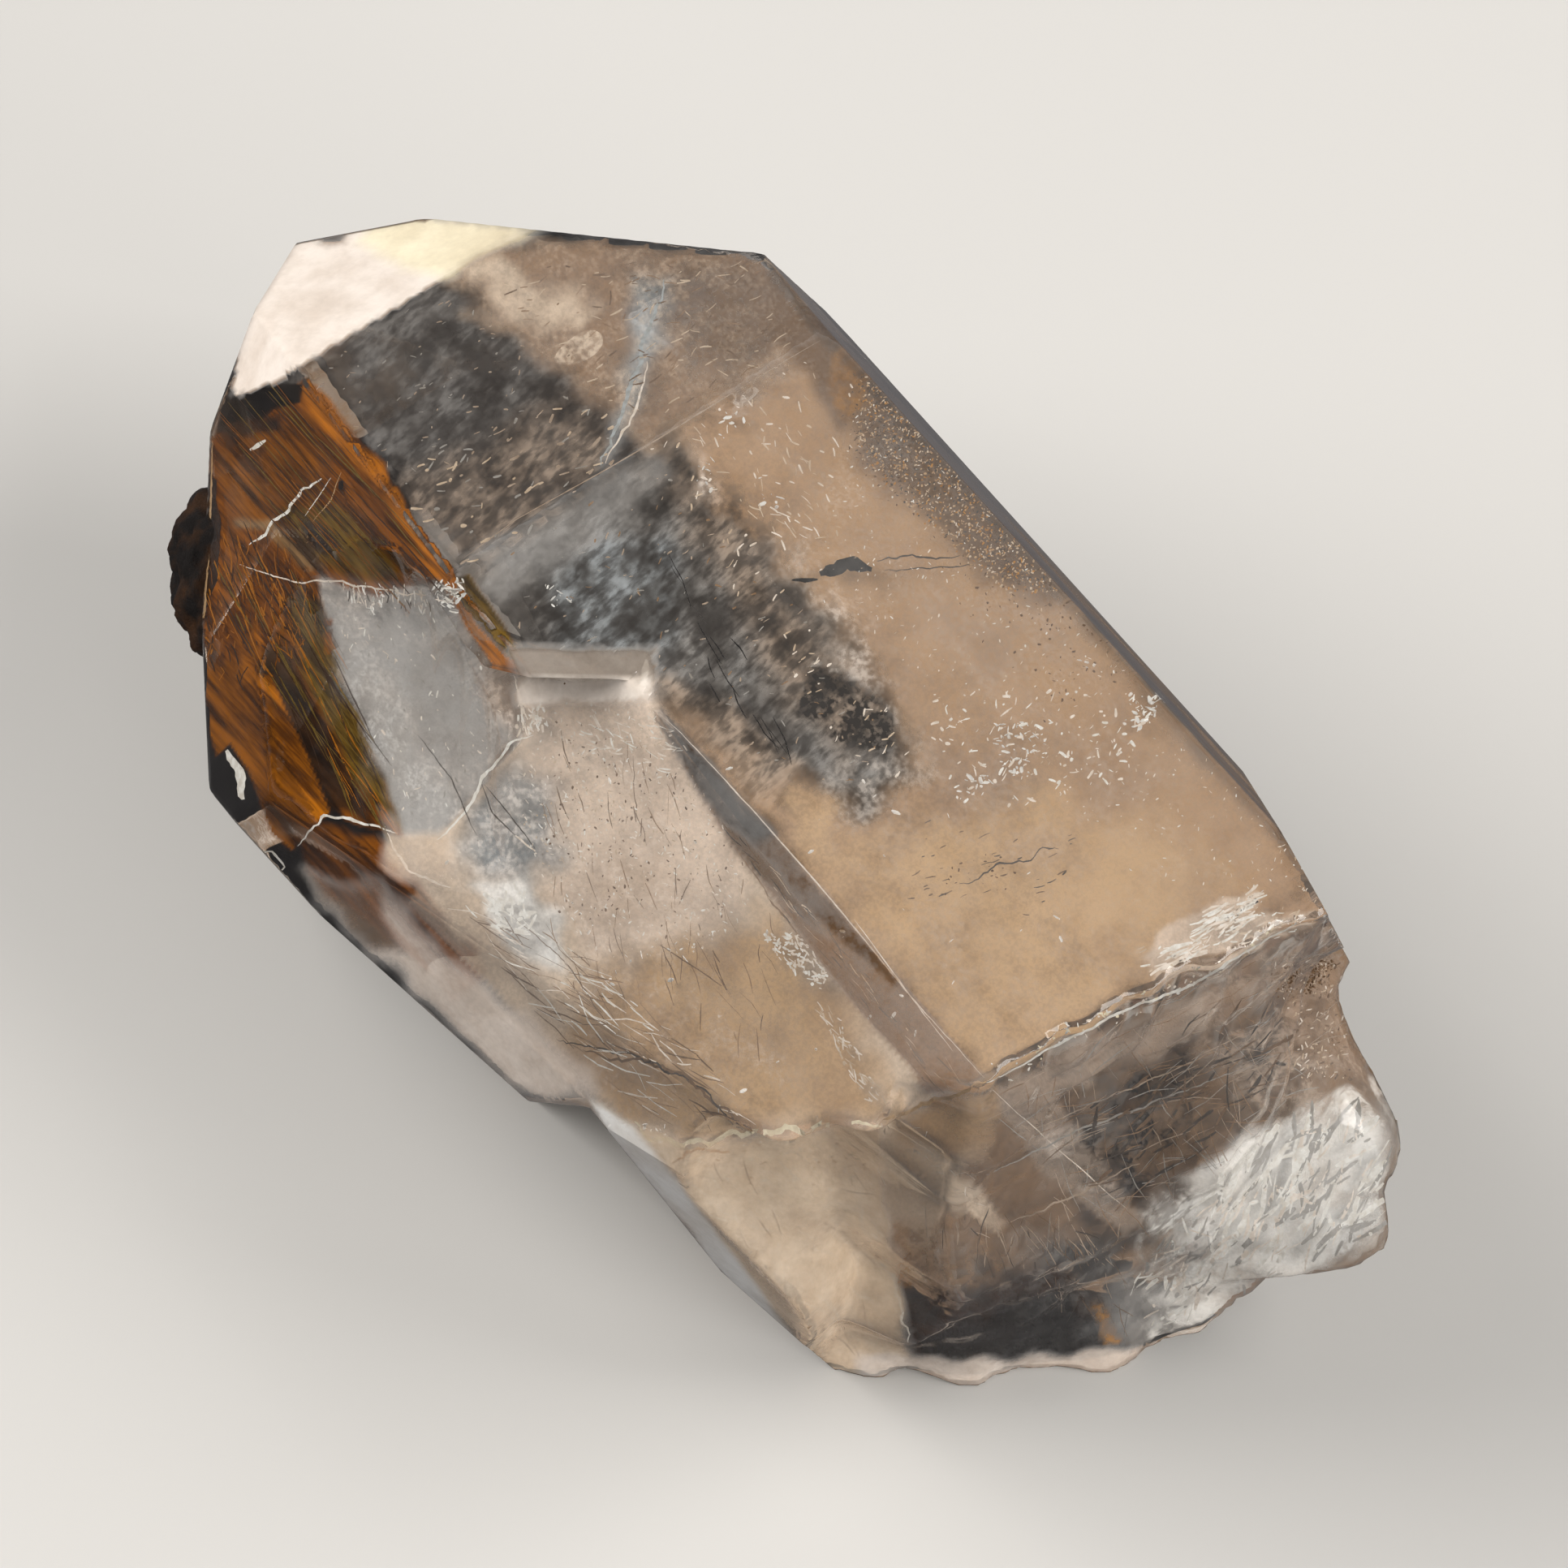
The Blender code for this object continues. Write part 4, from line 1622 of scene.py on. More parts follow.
PAINTED_WINDOW_SHADE = made(
    Stroke,
    # Painted shade: dark tones on a deep sheet that darken the clear windows and the root's clear middle,
    # with a little haze, and a pale window in the chip.
    (((-19.8, 15.6), (-13.5, 19.5), (-12.9, 19.6), (-5.3, 13.1), (-8.5, 10.4), (-11.9, 8.1), (-15.4, 11.6),
      (-18.3, 15.4)), Tone.SLATE, 0.94, 0.7, 0.2),
    (((-11.9, 8), (-5.3, 12.9), (-3.4, 12.9), (-0.2, 7.8), (3, 4.3), (5.2, 0.8), (3.3, -1.1), (-1.1, 0.2),
      (-4.8, 2.4), (-10.4, 4.3)), Tone.SLATE, 0.85, 1.6, 0.4),
    (((-0.8, 5.3), (1.7, 4.6), (4.6, 1.8), (5.2, 0.5), (3.6, -0.3), (0.4, 1.1), (-2.1, 3.1)),
     Tone.SLATE, 0.95, 0.9, 0.5),
    (((6.8, -12), (18.2, -6.2), (21.4, -6.8), (20.1, -13.2), (15.4, -17), (13.2, -18.2), (10.3, -17.6),
      (7.8, -15.1)), Tone.DUSK, 0.86, 1.2, 0.5),
    (((13.2, -9.2), (17.6, -6.8), (20.1, -7.1), (17, -8.7), (14.4, -10.3)), Tone.HAZE, 0.6, 1.2, 0.6),
    (((10.3, -13.8), (17.6, -8.4), (19.2, -10), (16.7, -13.8), (13.5, -16.3), (11.6, -16)),
     Tone.BLACK, 0.7, 1.8, 0.8),
    (((-18, 7.2), (-12.9, 6.5), (-11, 3.7), (-11.9, 0.2), (-14.2, -1.4), (-16.1, 2.1)),
     Tone.ASH, 0.85, 1, 0.3),
)

MOTTLES = made(
    Stroke,
    # Cloud patches and curdled spots, in the chip and over the front face.
    (((-18, 7.8), (-14.8, 7.7), (-12.6, 6.9), (-10.7, 4.3), (-10.7, 1.9), (-13.4, -2), (-14.7, -1.9),
      (-17.5, 5.6)), Tone.PALE, 0.8, 0.5, 0.3),
    (((-15.4, 5.3), (-12.9, 4.6), (-11.9, 2.1), (-13.5, 0.2), (-15.1, 2.1)), Tone.BLUE_GREY, 0.6, 1.2, 0.5),
    (((-16.1, 3.7), (-13.5, 3.4), (-11, 2.1), (-11.9, 0.2), (-13.4, -1.9), (-14.7, -1.7)),
     Tone.PALE, 0.45, 1.2, 0.5),
    (((-13.4, -2.4), (-9.9, 1.9), (-6.5, 2.1), (-2.7, -1.4), (-3.4, -5.8), (-8.5, -6.2), (-12.9, -4.3)),
     Tone.PALE, 0.3, 1, 0.5),
    (((-12.6, -3), (-7.8, -3.6), (-3.4, -6.8), (1.1, -11.6), (-3.7, -13.5), (-7.5, -11.6)),
     Tone.PALE, 0.3, 1.2, 0.5),
    # A painted white flare of light below the chip.
    (((-11.7, -4.3), (-10.4, -3.8), (-9.3, -4.9), (-9.7, -5.9), (-11.2, -5.8)),
     Tone.WHITE, 0.95, 0.35, 0.4),
    (((-17.7, 6.5), (-16.4, 5.3), (-14.8, 1.9), (-12.9, -0.8), (-13.9, -1.7), (-15.8, 1.1), (-17.4, 4.3)),
     Tone.WHITE, 0.7, 0.8, 0.6),
    (((-14.8, 5.3), (-12.9, 4.3), (-11.6, 1.5), (-12.9, 0.2), (-14.2, 2.1)), Tone.SLATE, 0.3, 0.8, 0.6),
    (((-11.6, 20.6), (-9.7, 21.4), (-0.8, 20.7), (1.2, 17.4), (-5.3, 13.2), (-10.4, 17.6), (-12.9, 19.6)),
     Tone.MILK, 0.42, 0.9, 0.5),
    (((-3.4, 13.5), (1.1, 16.7), (3, 12.9), (3, 8.5), (1.1, 7.2), (-1.5, 11)), Tone.PALE, 0.26, 1.5, 0.6),
    (((1.1, 7.8), (3.9, 6.5), (6.2, 2.7), (8.7, -0.4), (5.2, 0.2), (3, 3.7)), Tone.PALE, 0.35, 1.5, 0.6),
    (((2, 7.5), (3.1, 7.2), (4.4, 5.3), (5.5, 3.1), (5, 2.7), (3.5, 4.8)), Tone.PALE, 0.8, 0.8, 0.3),
    (((3, 7.2), (10.3, 6.5), (11.9, 3.7), (6.8, 2.4), (4.6, 3.7)), Tone.PALE, 0.36, 1.6, 0.7),
    (((-1.6, 12.4), (-1, 12.6), (0.3, 11.3), (0.1, 10.7), (-0.8, 11)), Tone.WHITE, 0.75, 0.4, 0.3),
    (((-3.4, 13.4), (-2.4, 13.4), (-2.4, 11), (-3.1, 11.3)), Tone.PALE, 0.7, 0.5, 0.4),
    (((4.3, 8.5), (10.3, 6.5), (18.2, -3.9), (13.8, -7.4), (8.4, -10.9), (2.4, -5.2), (1.1, -2.4)),
     Tone.PALE, 0.14, 1.5, 0.6),
    # Painted shade in the root's dark clear middle.
    (((10.6, -13.8), (13.8, -11.3), (17, -9.5), (18.6, -10.6), (16.3, -13.8), (13.5, -16.2), (11.6, -15.9)),
     Tone.BLACK, 0.6, 1.2, 0.7),
    # Frost at the root's bright end, its white partly painted highlight.
    (((16.3, -15.1), (18.2, -13.5), (23, -13), (23.3, -17.6), (15.7, -21.1), (14.4, -20.1), (17, -17)),
     Tone.WHITE, 0.95, 0.8, 0.6),
    # Painted shade in the darkest spot of the upper face's window.
    (((1.1, 4.6), (3, 4), (4.6, 1.9), (3.9, 1), (2, 1.3), (0.6, 2.7)), Tone.SLATE, 0.9, 0.6, 0.4),
    (((-3.4, 13.5), (1.1, 16.1), (2.4, 12.9), (1.1, 10.4), (-1.1, 9.7), (-2.7, 11.3)),
     Tone.TAUPE, 0.5, 1.4, 0.7),
    (((-5.3, -13.8), (3.6, -13.5), (4.6, -23), (0.4, -22.7), (-3.4, -17.6)), Tone.PALE, 0.25, 1.2, 0.5),
    (((15.4, -6.2), (21.4, -5.8), (23, -11.9), (18.9, -13.8), (16.3, -10.6)), Tone.HAZE, 0.4, 1.6, 0.6),
)

FLECKS = made(
    Stroke,
    # Pale haze and curdled streaks in the dark windows.
    (((-19.7, 15.6), (-13.5, 19.5), (-10.4, 17.4), (-5.3, 13.1), (-8.5, 10.4), (-11.9, 8), (-18.3, 15.4)),
     Tone.ASH, 0.16, 1, 0.3),
    (((-15.4, 11.6), (-8.5, 14.8), (-5.6, 13), (-8.8, 10.4), (-11.9, 8.1)), Tone.HAZE, 0.26, 1.8, 0.6),
    (((-11.9, 8), (-5.3, 12.9), (-2.1, 10), (1.1, 6.5), (4.6, 1.1), (3, -0.4), (-1.1, 0.8), (-4.6, 3.1),
      (-10.4, 4.3)), Tone.ASH, 0.22, 0.8, 0.3),
    (((-7.2, 7.2), (-4.3, 8), (-3.1, 5.3), (-5.3, 4.3), (-7, 4.8)), Tone.ASH, 0.45, 1, 0.5),
    (((-9.1, 7.8), (-7.2, 9.7), (-4, 9.1), (-4, 5.3), (-6.5, 4.6), (-8.8, 5.6)),
     Tone.BLUE_GREY, 0.26, 1.4, 0.6),
    (((-5.3, 12.9), (-3.7, 13.5), (-0.2, 7.8), (2.7, 4.3), (3.9, 2.1), (2.4, 1.1), (-0.2, 3.7),
      (-2.7, 8.5)), Tone.HAZE, 0.3, 1.8, 0.5),
    (((-5.3, 4.3), (-2.1, 3.1), (0.4, 0.5), (-0.2, -1.1), (-2.7, 0.2), (-4.3, 2.4)),
     Tone.HAZE, 0.5, 1, 0.5),
    (((5.8, -12), (18.2, -5.9), (21.4, -5.4), (22.7, -10.6), (18.9, -14.4), (13.8, -16.7), (10.6, -17.6),
      (5.2, -17.6)), Tone.TAUPE, 0.24, 1, 0.4),
    (((9.3, -13.3), (11.2, -13), (13.1, -16.1), (12.1, -16.2)), Tone.PALE, 0.35, 0.4, 0.2),
    (((5.2, -17), (10.6, -17), (13.5, -18.9), (13.2, -20.8), (5.2, -19.5)), Tone.ASH, 0.2, 1, 0.4),
    # The root's bright end: frost, its white partly painted highlight.
    (((13.5, -18.9), (16.3, -16.3), (20.1, -13.5), (23.6, -13.2), (23.6, -17.9), (13.8, -21.9)),
     Tone.PALE, 0.35, 1, 0.5),
    (((16.3, -16), (17.9, -13.7), (22.1, -12.5), (23.3, -13.8), (23, -17.6), (18.9, -18.6), (17, -17.9)),
     Tone.WHITE, 0.8, 0.9, 0.5),
    (((13.8, -16.3), (16.3, -15.4), (17.6, -17), (21.4, -17.9), (21.4, -18.9), (16.3, -21.4), (13.8, -21.7),
      (14.7, -18.9)), Tone.WHITE, 0.85, 1, 0.6),
    (((13.6, -20.1), (16.3, -17.6), (18.9, -17), (20.1, -18.9), (16.3, -20.5), (13.8, -21.7)),
     Tone.WHITE, 0.35, 0.9, 0.5),
)

STAIN = made(
    Stroke,
    # The dark inclusion at the root and its ochre edge.
    (((4.3, -17), (9, -17), (8.7, -19.2), (5.8, -19.8), (4.4, -19.2)), Tone.TAUPE, 0.5, 0.7, 0.4),
    (((4.2, -17), (4.8, -17.2), (4.9, -19.4), (4.3, -19.5)), Tone.OCHRE, 0.6, 0.3, 0.3),
    (((4.7, -20.5), (5.7, -19.8), (8.6, -19.5), (9.3, -18.5), (10.6, -18.6), (12.4, -20.1), (13, -21.6),
      (9.3, -22.4), (5.5, -22.4)), Tone.UMBER, 0.75, 0.7, 0.6),
    (((5.1, -21.4), (7.5, -20.8), (8.7, -20.1), (10.6, -19.7), (12, -20.5), (13.4, -21.9), (9.4, -22.4),
      (5.8, -22.3)), Tone.BLACK, 0.99, 0.5, 0.5),
    (((12, -20.1), (12.6, -20.4), (13.2, -21.7), (12.6, -21.9)), Tone.OCHRE, 0.7, 0.15, 0.15),
    (((2, 16.7), (3.1, 16.3), (3.4, 15.8), (2.4, 13.9), (1.8, 14.8)), Tone.OCHRE, 0.35, 0.5, 0.3),
)

CRACKS = made(
    Thread,
    # White cracks, from the chip's lip, over the iron and round the amber face.
    (((-13.4, -2.2), (-12.9, -1.7), (-12.3, -1.1), (-11.7, 0.2), (-11, 1), (-10.6, 1.6), (-9.7, 1.9)),
     Tone.WHITE, 0.16, 0.1),
    (((-20.8, 9.3), (-19.6, 10.4), (-18, 11.9)), Tone.WHITE, 0.16, 0.25),
    (((-18.9, -2.4), (-17.9, -1.2), (-16.4, -1.5), (-15, -1.9)), Tone.WHITE, 0.14, 0.15),
    (((-15.4, -1.9), (-14.5, -3.3), (-12.9, -4)), Tone.PALE, 0.12, 0.15),
    (((-5.5, 3.4), (-5.4, 4), (-5.3, 4.8)), Tone.WHITE, 0.34, 0.05),
    (((-22.3, 13.4), (-22.4, 10), (-22.7, 4.6)), Tone.TAN, 0.12, 0.06),
    (((-21.7, 1.3), (-21.2, 0.5), (-21, -0.6)), Tone.WHITE, 0.5, 0.1),
    (((-20.5, -2.7), (-19.9, -2.6), (-19.4, -3.2), (-19.7, -3.6)), Tone.WHITE, 0.1, 0.05),
    (((-9.9, 1.9), (-10.2, 3.1), (-10.4, 4.2)), Tone.PALE, 0.12, 0.12),
    (((-21.2, 8.5), (-19.3, 7.9), (-17, 7.8), (-14.2, 7.3), (-12.9, 7)), Tone.PALE, 0.09, 0.14),
    (((-20, 18.5), (-18.3, 19.6), (-16.6, 20.7)), Tone.BROWN, 0.1, 0),
    (((-7, 12.3), (-6.1, 14.8), (-5.6, 16.7), (-4.6, 19.6)), Tone.BLUE_GREY, 0.22, 0.2),
    (((-6.9, 12.4), (-5.6, 14.8), (-5.3, 16.4)), Tone.PALE, 0.12, 0.15),
    # The groove's dark edge and its pale inner line.
    (((-4.9, 2.8), (-3.9, 1.9), (-1.3, -0.9), (1.7, -4.3), (4.9, -8.2), (7.7, -11.3)),
     Tone.PALE, 0.07, 0.02),
    (((2.7, -5.2), (4.6, -7.8), (6.5, -10.3)), Tone.PALE, 0.06, 0.02),
    (((-1.9, -2.4), (-0.2, -4.9), (3, -8.7), (5.8, -11.8)), Tone.TAUPE, 0.1, 0.08),
    (((-12.4, 8.7), (-10.4, 10.2), (-7, 12.1), (-5.3, 13.1), (-2.1, 15.1), (1.4, 17.2)),
     Tone.HAZE, 0.06, 0.01),
    # Hairs and curved dark lines.
    (((-11.7, 0), (-11.3, -1.1), (-10.4, -2)), Tone.DUSK, 0.07, 0.02),
    (((-10.4, -2), (-9.9, -2.4), (-9.6, -2.6)), Tone.PALE, 0.1, 0.02),
    (((-5.8, 1.1), (-5.7, -1.1), (-5.3, -2.4)), Tone.BROWN, 0.05, 0.1),
    (((-4.8, -6.2), (-3.4, -7.1), (-2.4, -7.8)), Tone.BROWN, 0.07, 0.05),
    (((-17.3, 11.6), (-17.1, 11.6)), Tone.BLACK, 0.42, 0),
    (((-20.8, 13), (-20.5, 13.2), (-20.2, 13.4)), Tone.WHITE, 0.22, 0.05),
    (((7.9, -11.7), (10.6, -14.1), (13.3, -16.5)), Tone.PALE, 0.06, 0.03),
    (((7.8, -15.1), (11.6, -13.3), (16.3, -11.6), (17.9, -11)), Tone.ASH, 0.1, 0.12),
    (((8.7, -17), (11.6, -15.8), (13.8, -14.7)), Tone.HAZE, 0.1, 0.12),
    (((9.7, -13.3), (13.8, -11.6), (16.7, -10.3)), Tone.HAZE, 0.08, 0.12),
    (((-14.2, 1.9), (-12.9, 0.2), (-11.9, -2)), Tone.DUSK, 0.06, 0.05),
    (((-11.6, 0), (-10.7, -1.1), (-9.6, -2.5)), Tone.DUSK, 0.06, 0.05),
    (((-8.8, -9.8), (-5.9, -10.5), (-3.4, -11.6), (-1.5, -13.3)), Tone.DUSK, 0.12, 0.25),
    (((-7.8, -10.3), (-4.6, -10.9), (-2.7, -12.2), (-1.1, -13.5)), Tone.BROWN, 0.16, 0.3),
    (((-10.4, -5.2), (-8.5, -6.8), (-6.5, -9.7)), Tone.BROWN, 0.06, 0.1),
    (((-18.6, 10.4), (-18, 11.3), (-17.6, 11.9)), Tone.WHITE, 0.05, 0.05),
    (((-18.3, 10.2), (-17.6, 11), (-17.2, 12.1)), Tone.TAN, 0.05, 0.05),
    # The black sliver and the trail beside it.
    (((0.3, 7.9), (1.3, 7.9)), Tone.BLACK, 0.2, 0.05),
    (((1.4, 8.1), (2.4, 8.5), (3.4, 8.3)), Tone.BLACK, 0.62, 0.1),
    (((3.6, 8.6), (4.9, 8.8), (6.8, 8.8)), Tone.DUSK, 0.1, 0.15),
    (((3.9, 8.3), (5.5, 8.3), (7.4, 8.5)), Tone.DUSK, 0.07, 0.12),
    (((6.8, -3.9), (8.4, -3.1), (10.6, -2.5)), Tone.DUSK, 0.09, 0.25),
    # The crust of pale grains along the break, its white run on the right partly painted highlight on the
    # chipped edge.
    (((-5.9, -13.2), (-5.3, -13.6), (-3.7, -13.9), (-1.5, -13.5), (1.1, -13.3), (3.9, -13.1)),
     Tone.CREAM, 0.3, 0.3),
    (((3.6, -13.1), (5.8, -12.2), (7.8, -11.5)), Tone.TAN, 0.22, 0.25),
    (((7.8, -11.5), (10.6, -10), (13.2, -8.7), (15.8, -7.7), (18.2, -6.2), (20.1, -5.2)),
     Tone.WHITE, 0.14, 0.08),
    (((-4.3, -14.7), (-3.7, -14.1), (-2.1, -14.3)), Tone.OCHRE, 0.16, 0.2),
    (((2.7, -16.3), (3.5, -17.9), (4.6, -20.1), (4.9, -21.7)), Tone.WHITE, 0.16, 0.3),
)

WISPS = made(
    Wisps,
    # Scratches and patches on the bright point.
    (40, ((-21.2, 16.1), (-19.7, 20.8), (-18, 22), (-10.4, 21.6), (-19.8, 15.8)),
     (Tone.MILK, Tone.HAZE, Tone.FROST), 60, (0.2, 1.8), (0.02, 0.05), 34),
    (41, ((-18.5, 22.1), (-15.4, 22.2), (-10.4, 21.7), (-12.9, 20.5), (-16.1, 20.7)),
     (Tone.HAZE, Tone.MILK, Tone.WAX), 70, (0.06, 0.4), (0.04, 0.12), -8, 24),
    # Streaks and specks in the dark windows.
    (1, ((-15.4, 11.6), (-12.9, 13.4), (-8.5, 15.8), (-5.6, 13), (-8.8, 10.4), (-11.9, 8.1)),
     (Tone.HAZE, Tone.ASH, Tone.MILK), 70, (0.1, 0.5), (0.06, 0.16), 32, 18),
    (2, ((-19.3, 15.6), (-13.5, 19.3), (-10.4, 17.4), (-7.2, 14.8), (-11.6, 12.9), (-14.8, 11.3),
      (-18, 15.4)), (Tone.ASH, Tone.HAZE), 80, (0.06, 0.25), (0.03, 0.09), 32, 25),
    (3, ((-11.6, 8.5), (-5.3, 12.6), (-2.1, 10), (1.1, 6.5), (4.6, 1.1), (3, -0.4), (-1.1, 1.1),
      (-4.6, 3.7), (-10, 4.5)), (Tone.HAZE, Tone.ASH, Tone.TAUPE), 130, (0.06, 0.3), (0.03, 0.1), 34, 34),
    (4, ((-5.3, 12.9), (-3.7, 13.5), (-0.2, 7.8), (4.6, 2.1), (5.2, 0.2), (3, 0.2), (-2.1, 7.8)),
     (Tone.MILK, Tone.PALE), 60, (0.08, 0.35), (0.04, 0.12), 45, 30),
    (5, ((-4.3, 8.5), (-2.1, 6.5), (0.4, 2.1), (-0.2, 0.8), (-2.7, 3.4)),
     (Tone.SLATE, Tone.BLACK), 14, (0.8, 2.4), (0.03, 0.07), -62),
    # Bright flecks in the long upper face, thickest along its right edge.
    (6, ((1.1, 7.2), (3, 15.8), (7.9, 11.3), (13.8, 4), (18.9, -1.4), (21.4, -5.4), (18.2, -5.9),
      (11.6, -1.4), (6.8, 2.1), (3.9, 5.3)),
     (Tone.WHITE, Tone.PALE, Tone.MILK), 520, (0.04, 0.16), (0.02, 0.07), 58, 50),
    (7, ((3, 16), (4.6, 15.4), (7.9, 11.6), (10.6, 7.5), (8.7, 7.2), (5.8, 9.7), (2.7, 12.9)),
     (Tone.MILK, Tone.TAN, Tone.BEIGE, Tone.OCHRE, Tone.DUSK), 1400, (0.04, 0.13), (0.04, 0.1), 40, 60),
    (8, ((5.2, 3.4), (10.3, 3.7), (14.4, 3.4), (13.2, 0.2), (6.8, -1.4)),
     (Tone.WHITE, Tone.PALE), 130, (0.05, 0.4), (0.04, 0.16), 25, 48),
    (9, ((-3.7, 13.9), (1.1, 16.7), (2.7, 15.4), (2.4, 9.7), (-0.2, 9.1), (-2.7, 11.6)),
     (Tone.PALE, Tone.MILK), 90, (0.1, 0.5), (0.03, 0.1), -50, 25),
    (10, ((-11.6, 20.2), (-0.8, 20.5), (1.1, 17.4), (-5.3, 13.4), (-9.7, 17.4)),
     (Tone.MILK, Tone.TAUPE, Tone.BROWN), 170, (0.1, 0.6), (0.03, 0.09), 18, 25),
    (11, ((4.9, -1.4), (11.3, -1.7), (10.6, -5.2), (4.9, -4.6)),
     (Tone.BROWN, Tone.DUSK), 40, (0.08, 0.5), (0.03, 0.09), 20, 10),
    # The streaked patch above the break, its white streaks partly painted glints, and the beads along the
    # break.
    (12, ((13.6, -6.3), (15.1, -6.2), (16.7, -4.6), (18.2, -3.9), (18.4, -5.1), (20.1, -4.8), (19.8, -5.8),
      (17, -6.3), (14.1, -7.4)), (Tone.WHITE, Tone.PALE, Tone.MILK), 110, (0.06, 0.4), (0.04, 0.1), 26, 20),
    (42, ((15.1, -6.2), (16.7, -4.6), (18.2, -3.9), (18.6, -4.9), (16.3, -6.5), (14.1, -7.3)),
     (Tone.WHITE, Tone.PALE), 40, (0.4, 1.6), (0.08, 0.2), 26),
    (13, ((8.1, -11.3), (10.6, -9.6), (18.9, -5.5), (20.1, -5.2), (15.8, -7.9), (10.6, -10.2),
      (8.5, -11.6)), (Tone.WHITE, Tone.CREAM, Tone.PALE), 150, (0.05, 0.2), (0.05, 0.13), 24, 45),
    # Frost and scratches on the front face.
    (14, ((-10.2, 4), (-5.3, 3.9), (-4.9, 2.6), (-2.1, -2), (-1.1, -4.9), (-3.4, -6.5), (-7.2, -6.8),
      (-9.1, -4.3), (-10.2, -1.4), (-9.9, 1.9)),
     (Tone.PALE, Tone.WHITE, Tone.MILK), 700, (0.04, 0.2), (0.03, 0.09), -60, 40),
    (15, ((-10.2, 3.7), (-9.2, 3.8), (-9.3, 2.1), (-10.4, 1.9)),
     (Tone.WHITE, Tone.PALE), 60, (0.1, 0.4), (0.05, 0.14), -80, 25),
    (16, ((-8.5, 2.4), (-5.3, 2.7), (-3.4, 1.5), (-4.6, 0.2), (-7.2, 0.8)),
     (Tone.WHITE, Tone.PALE), 60, (0.1, 0.6), (0.03, 0.1), -22, 25),
    (17, ((-9.1, 1.5), (-5.3, 1.5), (-2.1, -2.7), (-0.2, -5.8), (-0.8, -10.3), (-6.5, -10.3), (-9.1, -6.8)),
     (Tone.TAUPE, Tone.BROWN), 90, (0.2, 1.6), (0.02, 0.06), -75, 12),
    (18, ((-12.9, -3.9), (-8.5, -6.2), (-3.4, -10.3), (-1.1, -13.2), (-5.3, -12.8), (-8.8, -9.7)),
     (Tone.PALE, Tone.TAUPE, Tone.BROWN, Tone.WHITE), 150, (0.3, 2.2), (0.02, 0.09), -32, 14),
    # White marks in the painted flare below the chip.
    (19, ((-11.6, -4.2), (-10.4, -3.9), (-9.5, -4.9), (-9.7, -5.8), (-11, -5.8)),
     (Tone.WHITE,), 36, (0.2, 0.7), (0.08, 0.24), -40, 45),
    (20, ((-1, -5.8), (0.6, -5.8), (1.8, -7.4), (1.4, -7.9), (0.1, -7.1)),
     (Tone.PALE, Tone.WHITE), 110, (0.1, 0.3), (0.06, 0.14), -50, 40),
    (21, ((1.1, -8.4), (2, -8.7), (3.9, -12.2), (3, -12.2)),
     (Tone.PALE, Tone.MILK), 60, (0.1, 0.5), (0.04, 0.1), -55, 20),
    (22, ((-2.5, -1.3), (-1.6, -1.9), (6.8, -11.3), (5.8, -11.7), (-0.8, -4.3)),
     (Tone.DUSK, Tone.MILK, Tone.BROWN), 110, (0.1, 1.2), (0.02, 0.06), -50, 6),
    # Hairs across the clear root, and bright streaks at its end, partly frost and partly painted highlight.
    (23, ((7.9, -11.9), (18.2, -6.3), (21.4, -6.2), (21.4, -11.6), (17, -15.1), (13.5, -16.7),
      (10.6, -15.1)), (Tone.ASH, Tone.HAZE, Tone.TAUPE), 120, (0.5, 2.6), (0.02, 0.06), 24, 12),
    (24, ((7.9, -12.5), (17, -8.1), (20.8, -10.6), (17, -15.1), (13.2, -18.9), (10.3, -17.6)),
     (Tone.ASH, Tone.TAUPE, Tone.HAZE), 80, (0.4, 2.2), (0.02, 0.06), -62, 18),
    (25, ((10.3, -13.8), (17, -8.1), (20.1, -10.3), (17, -13.8), (12.5, -16.7)),
     (Tone.DUSK, Tone.BROWN), 70, (0.3, 1.8), (0.05, 0.18), 40, 22),
    (26, ((18.9, -6.8), (21.7, -6.8), (22.1, -11.6), (19.8, -11.6)),
     (Tone.PALE, Tone.MILK, Tone.BROWN), 170, (0.05, 0.25), (0.04, 0.09), 50, 40),
    (27, ((13.5, -18.9), (16.3, -16.3), (20.1, -13.5), (23.3, -13.2), (23.3, -17.9), (13.8, -21.9)),
     (Tone.WHITE, Tone.PALE, Tone.ASH), 170, (0.1, 1.1), (0.03, 0.2), 60, 22),
    (43, ((16.3, -16), (17.9, -13.7), (22.1, -12.8), (23.3, -13.8), (23, -17.6), (18.9, -18.6),
      (17, -17.9)), (Tone.WHITE, Tone.WHITE, Tone.ASH), 70, (0.5, 2.2), (0.1, 0.36), 58, 16),
    (44, ((13.8, -18.9), (20.1, -13.8), (21.4, -14.4), (18.9, -18.2), (14.4, -21.4)),
     (Tone.ASH, Tone.PALE, Tone.WHITE), 80, (0.2, 1), (0.06, 0.24), 50, 30),
    (28, ((-4.6, -14.4), (3.6, -13.8), (3.9, -20.1), (3, -23), (0.4, -22.7), (-3.1, -17.9)),
     (Tone.PALE, Tone.WHITE, Tone.MILK, Tone.BROWN), 120, (0.1, 1.6), (0.02, 0.06), -44, 24),
    (45, ((-4, -14.1), (3.6, -13.5), (3.9, -15.1), (1.1, -16.3), (-3.1, -15.4)),
     (Tone.WHITE, Tone.CREAM, Tone.TAN), 90, (0.05, 0.3), (0.04, 0.1), 10, 30),
    (29, ((5.5, -17), (13.2, -17), (13.5, -21.4), (7.4, -18.9)),
     (Tone.HAZE, Tone.BROWN, Tone.DUSK), 80, (0.2, 1.6), (0.02, 0.06), -65, 22),
    (30, ((3.8, -13.3), (4.9, -12.6), (8.2, -16.1), (7.8, -16.5)),
